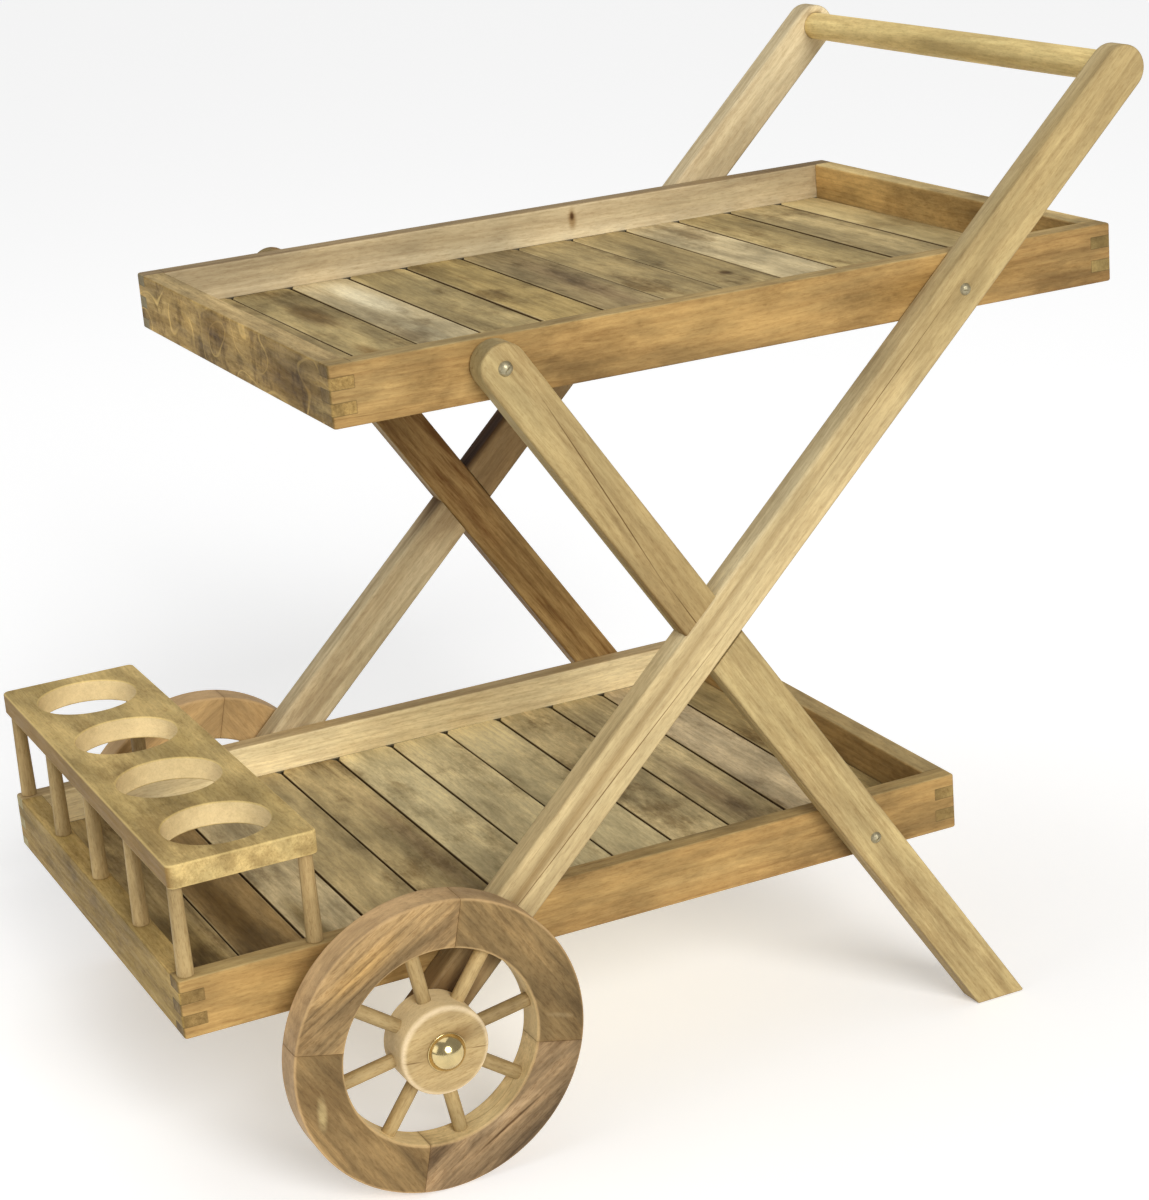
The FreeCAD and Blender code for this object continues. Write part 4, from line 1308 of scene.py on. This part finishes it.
WORN_TOP = (1.1, 1.26, 1.52)
DIRTY_TOP = (0.62, 0.56, 0.50)
DARK_FINGERS = (0.62, 0.66, 0.60)
BOARDS = {
    "upper_tray_front_end": (110, "end_wood", "warm", 1.3, (1.18, 1.30, 1.85), (1.18, 1.18, 1.22)),
    "upper_tray_left_side": (111, "tray_wood", "dark", 1.2, WORN_TOP, DARK_FINGERS),
    "upper_tray_right_side": (112, "arm_wood", "ashen", 1.0, DIRTY_TOP, DARK_FINGERS),
    "upper_tray_rear_end": (113, "tray_wood", "light", 1.0, WORN_TOP, DARK_FINGERS),
    # Its top edge's tint is painted light, lifting the top where the rack board's shadow falls
    "lower_tray_front_end": (114, "rack_wood", "tobacco", 1.6, (1.56, 1.65, 2.2), (0.64, 0.61, 0.71)),
    "lower_tray_left_side": (115, "tray_wood", "dark", 1.2, WORN_TOP, DARK_FINGERS),
    "lower_tray_right_side": (116, "arm_wood", "pale", 1.0, DIRTY_TOP, DARK_FINGERS),
    "lower_tray_rear_end": (117, "tray_wood", "plain", 1.0, WORN_TOP, DARK_FINGERS),
    "upper_batten": (120, "slat_wood", "plain", 1.0, WORN_TOP, DARK_FINGERS),
    "lower_batten": (121, "slat_wood", "plain", 1.0, WORN_TOP, DARK_FINGERS),
}


class TROLLEY_OT_tray_boards(bpy.types.Operator):
    """Finish of the box-jointed tray boards and of the battens under the slats"""

    bl_idname = "trolley.tray_boards"
    bl_label = "Tray boards"

    def execute(self, context):
        settings = context.scene.trolley
        for node, (number, finish, shade, marking, top, fingers) in BOARDS.items():
            node_wood(node, number, getattr(settings, finish), shade, marking, top, fingers)
        return {"FINISHED"}


class TROLLEY_OT_fixings(bpy.types.Operator):
    """Finish of screws, pivot bolts, stub axles and washers"""

    bl_idname = "trolley.fixings"
    bl_label = "Fixings"

    def execute(self, context):
        metals = context.scene.trolley.metals
        screw = metal("screw_brass", metals.screw, roughness=0.50, waves=400.0)
        steel = metal("axle_steel_bright", metals.steel, roughness=0.30, waves=120.0)
        for node in ("arm_screws", "leg_pivot_bolts", "batten_screws"):
            dress(node, screw)
        for node in ("stub_axles", "axle_washers"):
            dress(node, steel)
        return {"FINISHED"}


# Stage: places in metres, turns in degrees to the right of +Y, upwards and about the view

FLOOR_REACH = 14.0
FLOOR_DROP = 0.0004
WORLD_STRENGTH = 0.32
KEY_PLACE = (0.0, -3.0, 2.2)
KEY_TURNS = (0.0, -27.0, 0.0)
KEY_ENERGY = 2.5
KEY_SPREAD = 28.0
SOFT_BOXES = (("overhead", (-0.4, 0.4, 3.4), 3.0, 24.0), ("front", (-3.2, -0.4, 1.5), 2.0, 16.0))
SOFT_BOX_AIM = (0.0, 0.0, 0.4)
CAMERA_PLACE = (-0.97288, -2.20166, 1.14734)
CAMERA_TURNS = (24.2008, -18.0345, -4.8328)
CAMERA_LENS = 84.816
CAMERA_SENSOR = 36.0


def facing(position, turns):
    """Where a camera or a lamp stands when it is turned right from +Y, tilted up and rolled, in degrees."""
    yaw, pitch, roll = np.radians(turns)
    ahead = np.array((math.sin(yaw) * math.cos(pitch), math.cos(yaw) * math.cos(pitch), math.sin(pitch)))
    level = np.array((math.cos(yaw), -math.sin(yaw), 0.0))
    up = np.cross(level, ahead)
    right = math.cos(roll) * level + math.sin(roll) * up
    above = -math.sin(roll) * level + math.cos(roll) * up
    place = np.eye(4)
    place[:3] = np.stack([right, above, -ahead, position], axis=1)
    return Matrix(place.tolist())


def lamp(name, kind, position, turns, energy):
    """A lamp in its place, with its data for further settings."""
    light = bpy.data.lights.new(name, kind)
    light.energy = energy
    add(name, light).matrix_world = facing(position, turns)
    return light


class TROLLEY_OT_stage(bpy.types.Operator):
    """Pale floor, soft studio light and the camera"""

    bl_idname = "trolley.stage"
    bl_label = "Stage"

    def execute(self, context):
        scene = context.scene
        scene.view_settings.view_transform = "Standard"
        material, tree, shader = new_material("studio_floor")
        feed(shader, {
            "Base Color": opaque(scene.trolley.metals.floor),
            "Roughness": 0.9,
            "Emission Color": WHITE,
            "Emission Strength": 0.30,
        })
        far = FLOOR_REACH
        corners = [(x, y, -FLOOR_DROP) for x, y in ((-far, -far), (far, -far), (far, far), (-far, far))]
        mesh = bpy.data.meshes.new("studio_floor")
        mesh.from_pydata(corners, [], [(0, 1, 2, 3)])
        mesh.materials.append(material)
        add("studio_floor", mesh)

        world = bpy.data.worlds.new("studio")
        world.use_nodes = True
        feed(world.node_tree.nodes["Background"], {"Color": WHITE, "Strength": WORLD_STRENGTH})
        scene.world = world
        lamp("key", "SUN", KEY_PLACE, KEY_TURNS, KEY_ENERGY).angle = math.radians(KEY_SPREAD)
        for name, position, size, energy in SOFT_BOXES:
            ahead = unit(np.subtract(SOFT_BOX_AIM, position))
            turns = (math.degrees(math.atan2(ahead[0], ahead[1])), math.degrees(math.asin(ahead[2])), 0.0)
            lamp(name, "AREA", position, turns, energy).size = size

        camera = bpy.data.cameras.new("camera")
        camera.lens = CAMERA_LENS
        camera.sensor_width = CAMERA_SENSOR
        camera.clip_end = 100.0
        scene.camera = add("camera", camera)
        scene.camera.matrix_world = facing(CAMERA_PLACE, CAMERA_TURNS)
        return {"FINISHED"}


class TROLLEY_PT_panel(bpy.types.Panel):
    """Lists the trolley's pieces and settings"""

    bl_idname = "TROLLEY_PT_panel"
    bl_label = "Serving trolley"
    bl_space_type = "VIEW_3D"
    bl_region_type = "UI"
    bl_category = "Trolley"

    def draw(self, context):
        for operator in OPERATORS:
            self.layout.operator(operator.bl_idname)
        settings = context.scene.trolley
        for name in TrolleySettings.__annotations__:
            group = getattr(settings, name)
            box = self.layout.box()
            box.label(text=name.replace("_", " ").capitalize())
            for prop in group.bl_rna.properties.keys():
                if prop not in ("rna_type", "name"):
                    box.prop(group, prop)


OPERATORS = (
    TROLLEY_OT_arms,
    TROLLEY_OT_push_bar,
    TROLLEY_OT_slats,
    TROLLEY_OT_wheels,
    TROLLEY_OT_hub_caps,
    TROLLEY_OT_bottle_rack,
    TROLLEY_OT_tray_boards,
    TROLLEY_OT_fixings,
    TROLLEY_OT_stage,
)
CLASSES = (TrolleySizes, ArmWood, TrayWood, EndWood, SlatWood, RackWood, FelloeWood, HubWood,
           TrolleyMetals, TrolleySettings) + OPERATORS + (TROLLEY_PT_panel,)


def register():
    for cls in CLASSES:
        bpy.utils.register_class(cls)
    bpy.types.Scene.trolley = PointerProperty(type=TrolleySettings)


def unregister():
    del bpy.types.Scene.trolley
    for cls in reversed(CLASSES):
        bpy.utils.unregister_class(cls)


def main():
    register()
    bpy.ops.trolley.arms()
    bpy.ops.trolley.push_bar()
    bpy.ops.trolley.slats()
    bpy.ops.trolley.wheels()
    bpy.ops.trolley.hub_caps()
    bpy.ops.trolley.bottle_rack()
    bpy.ops.trolley.tray_boards()
    bpy.ops.trolley.fixings()
    bpy.ops.trolley.stage()


if __name__ == "__main__":
    main()
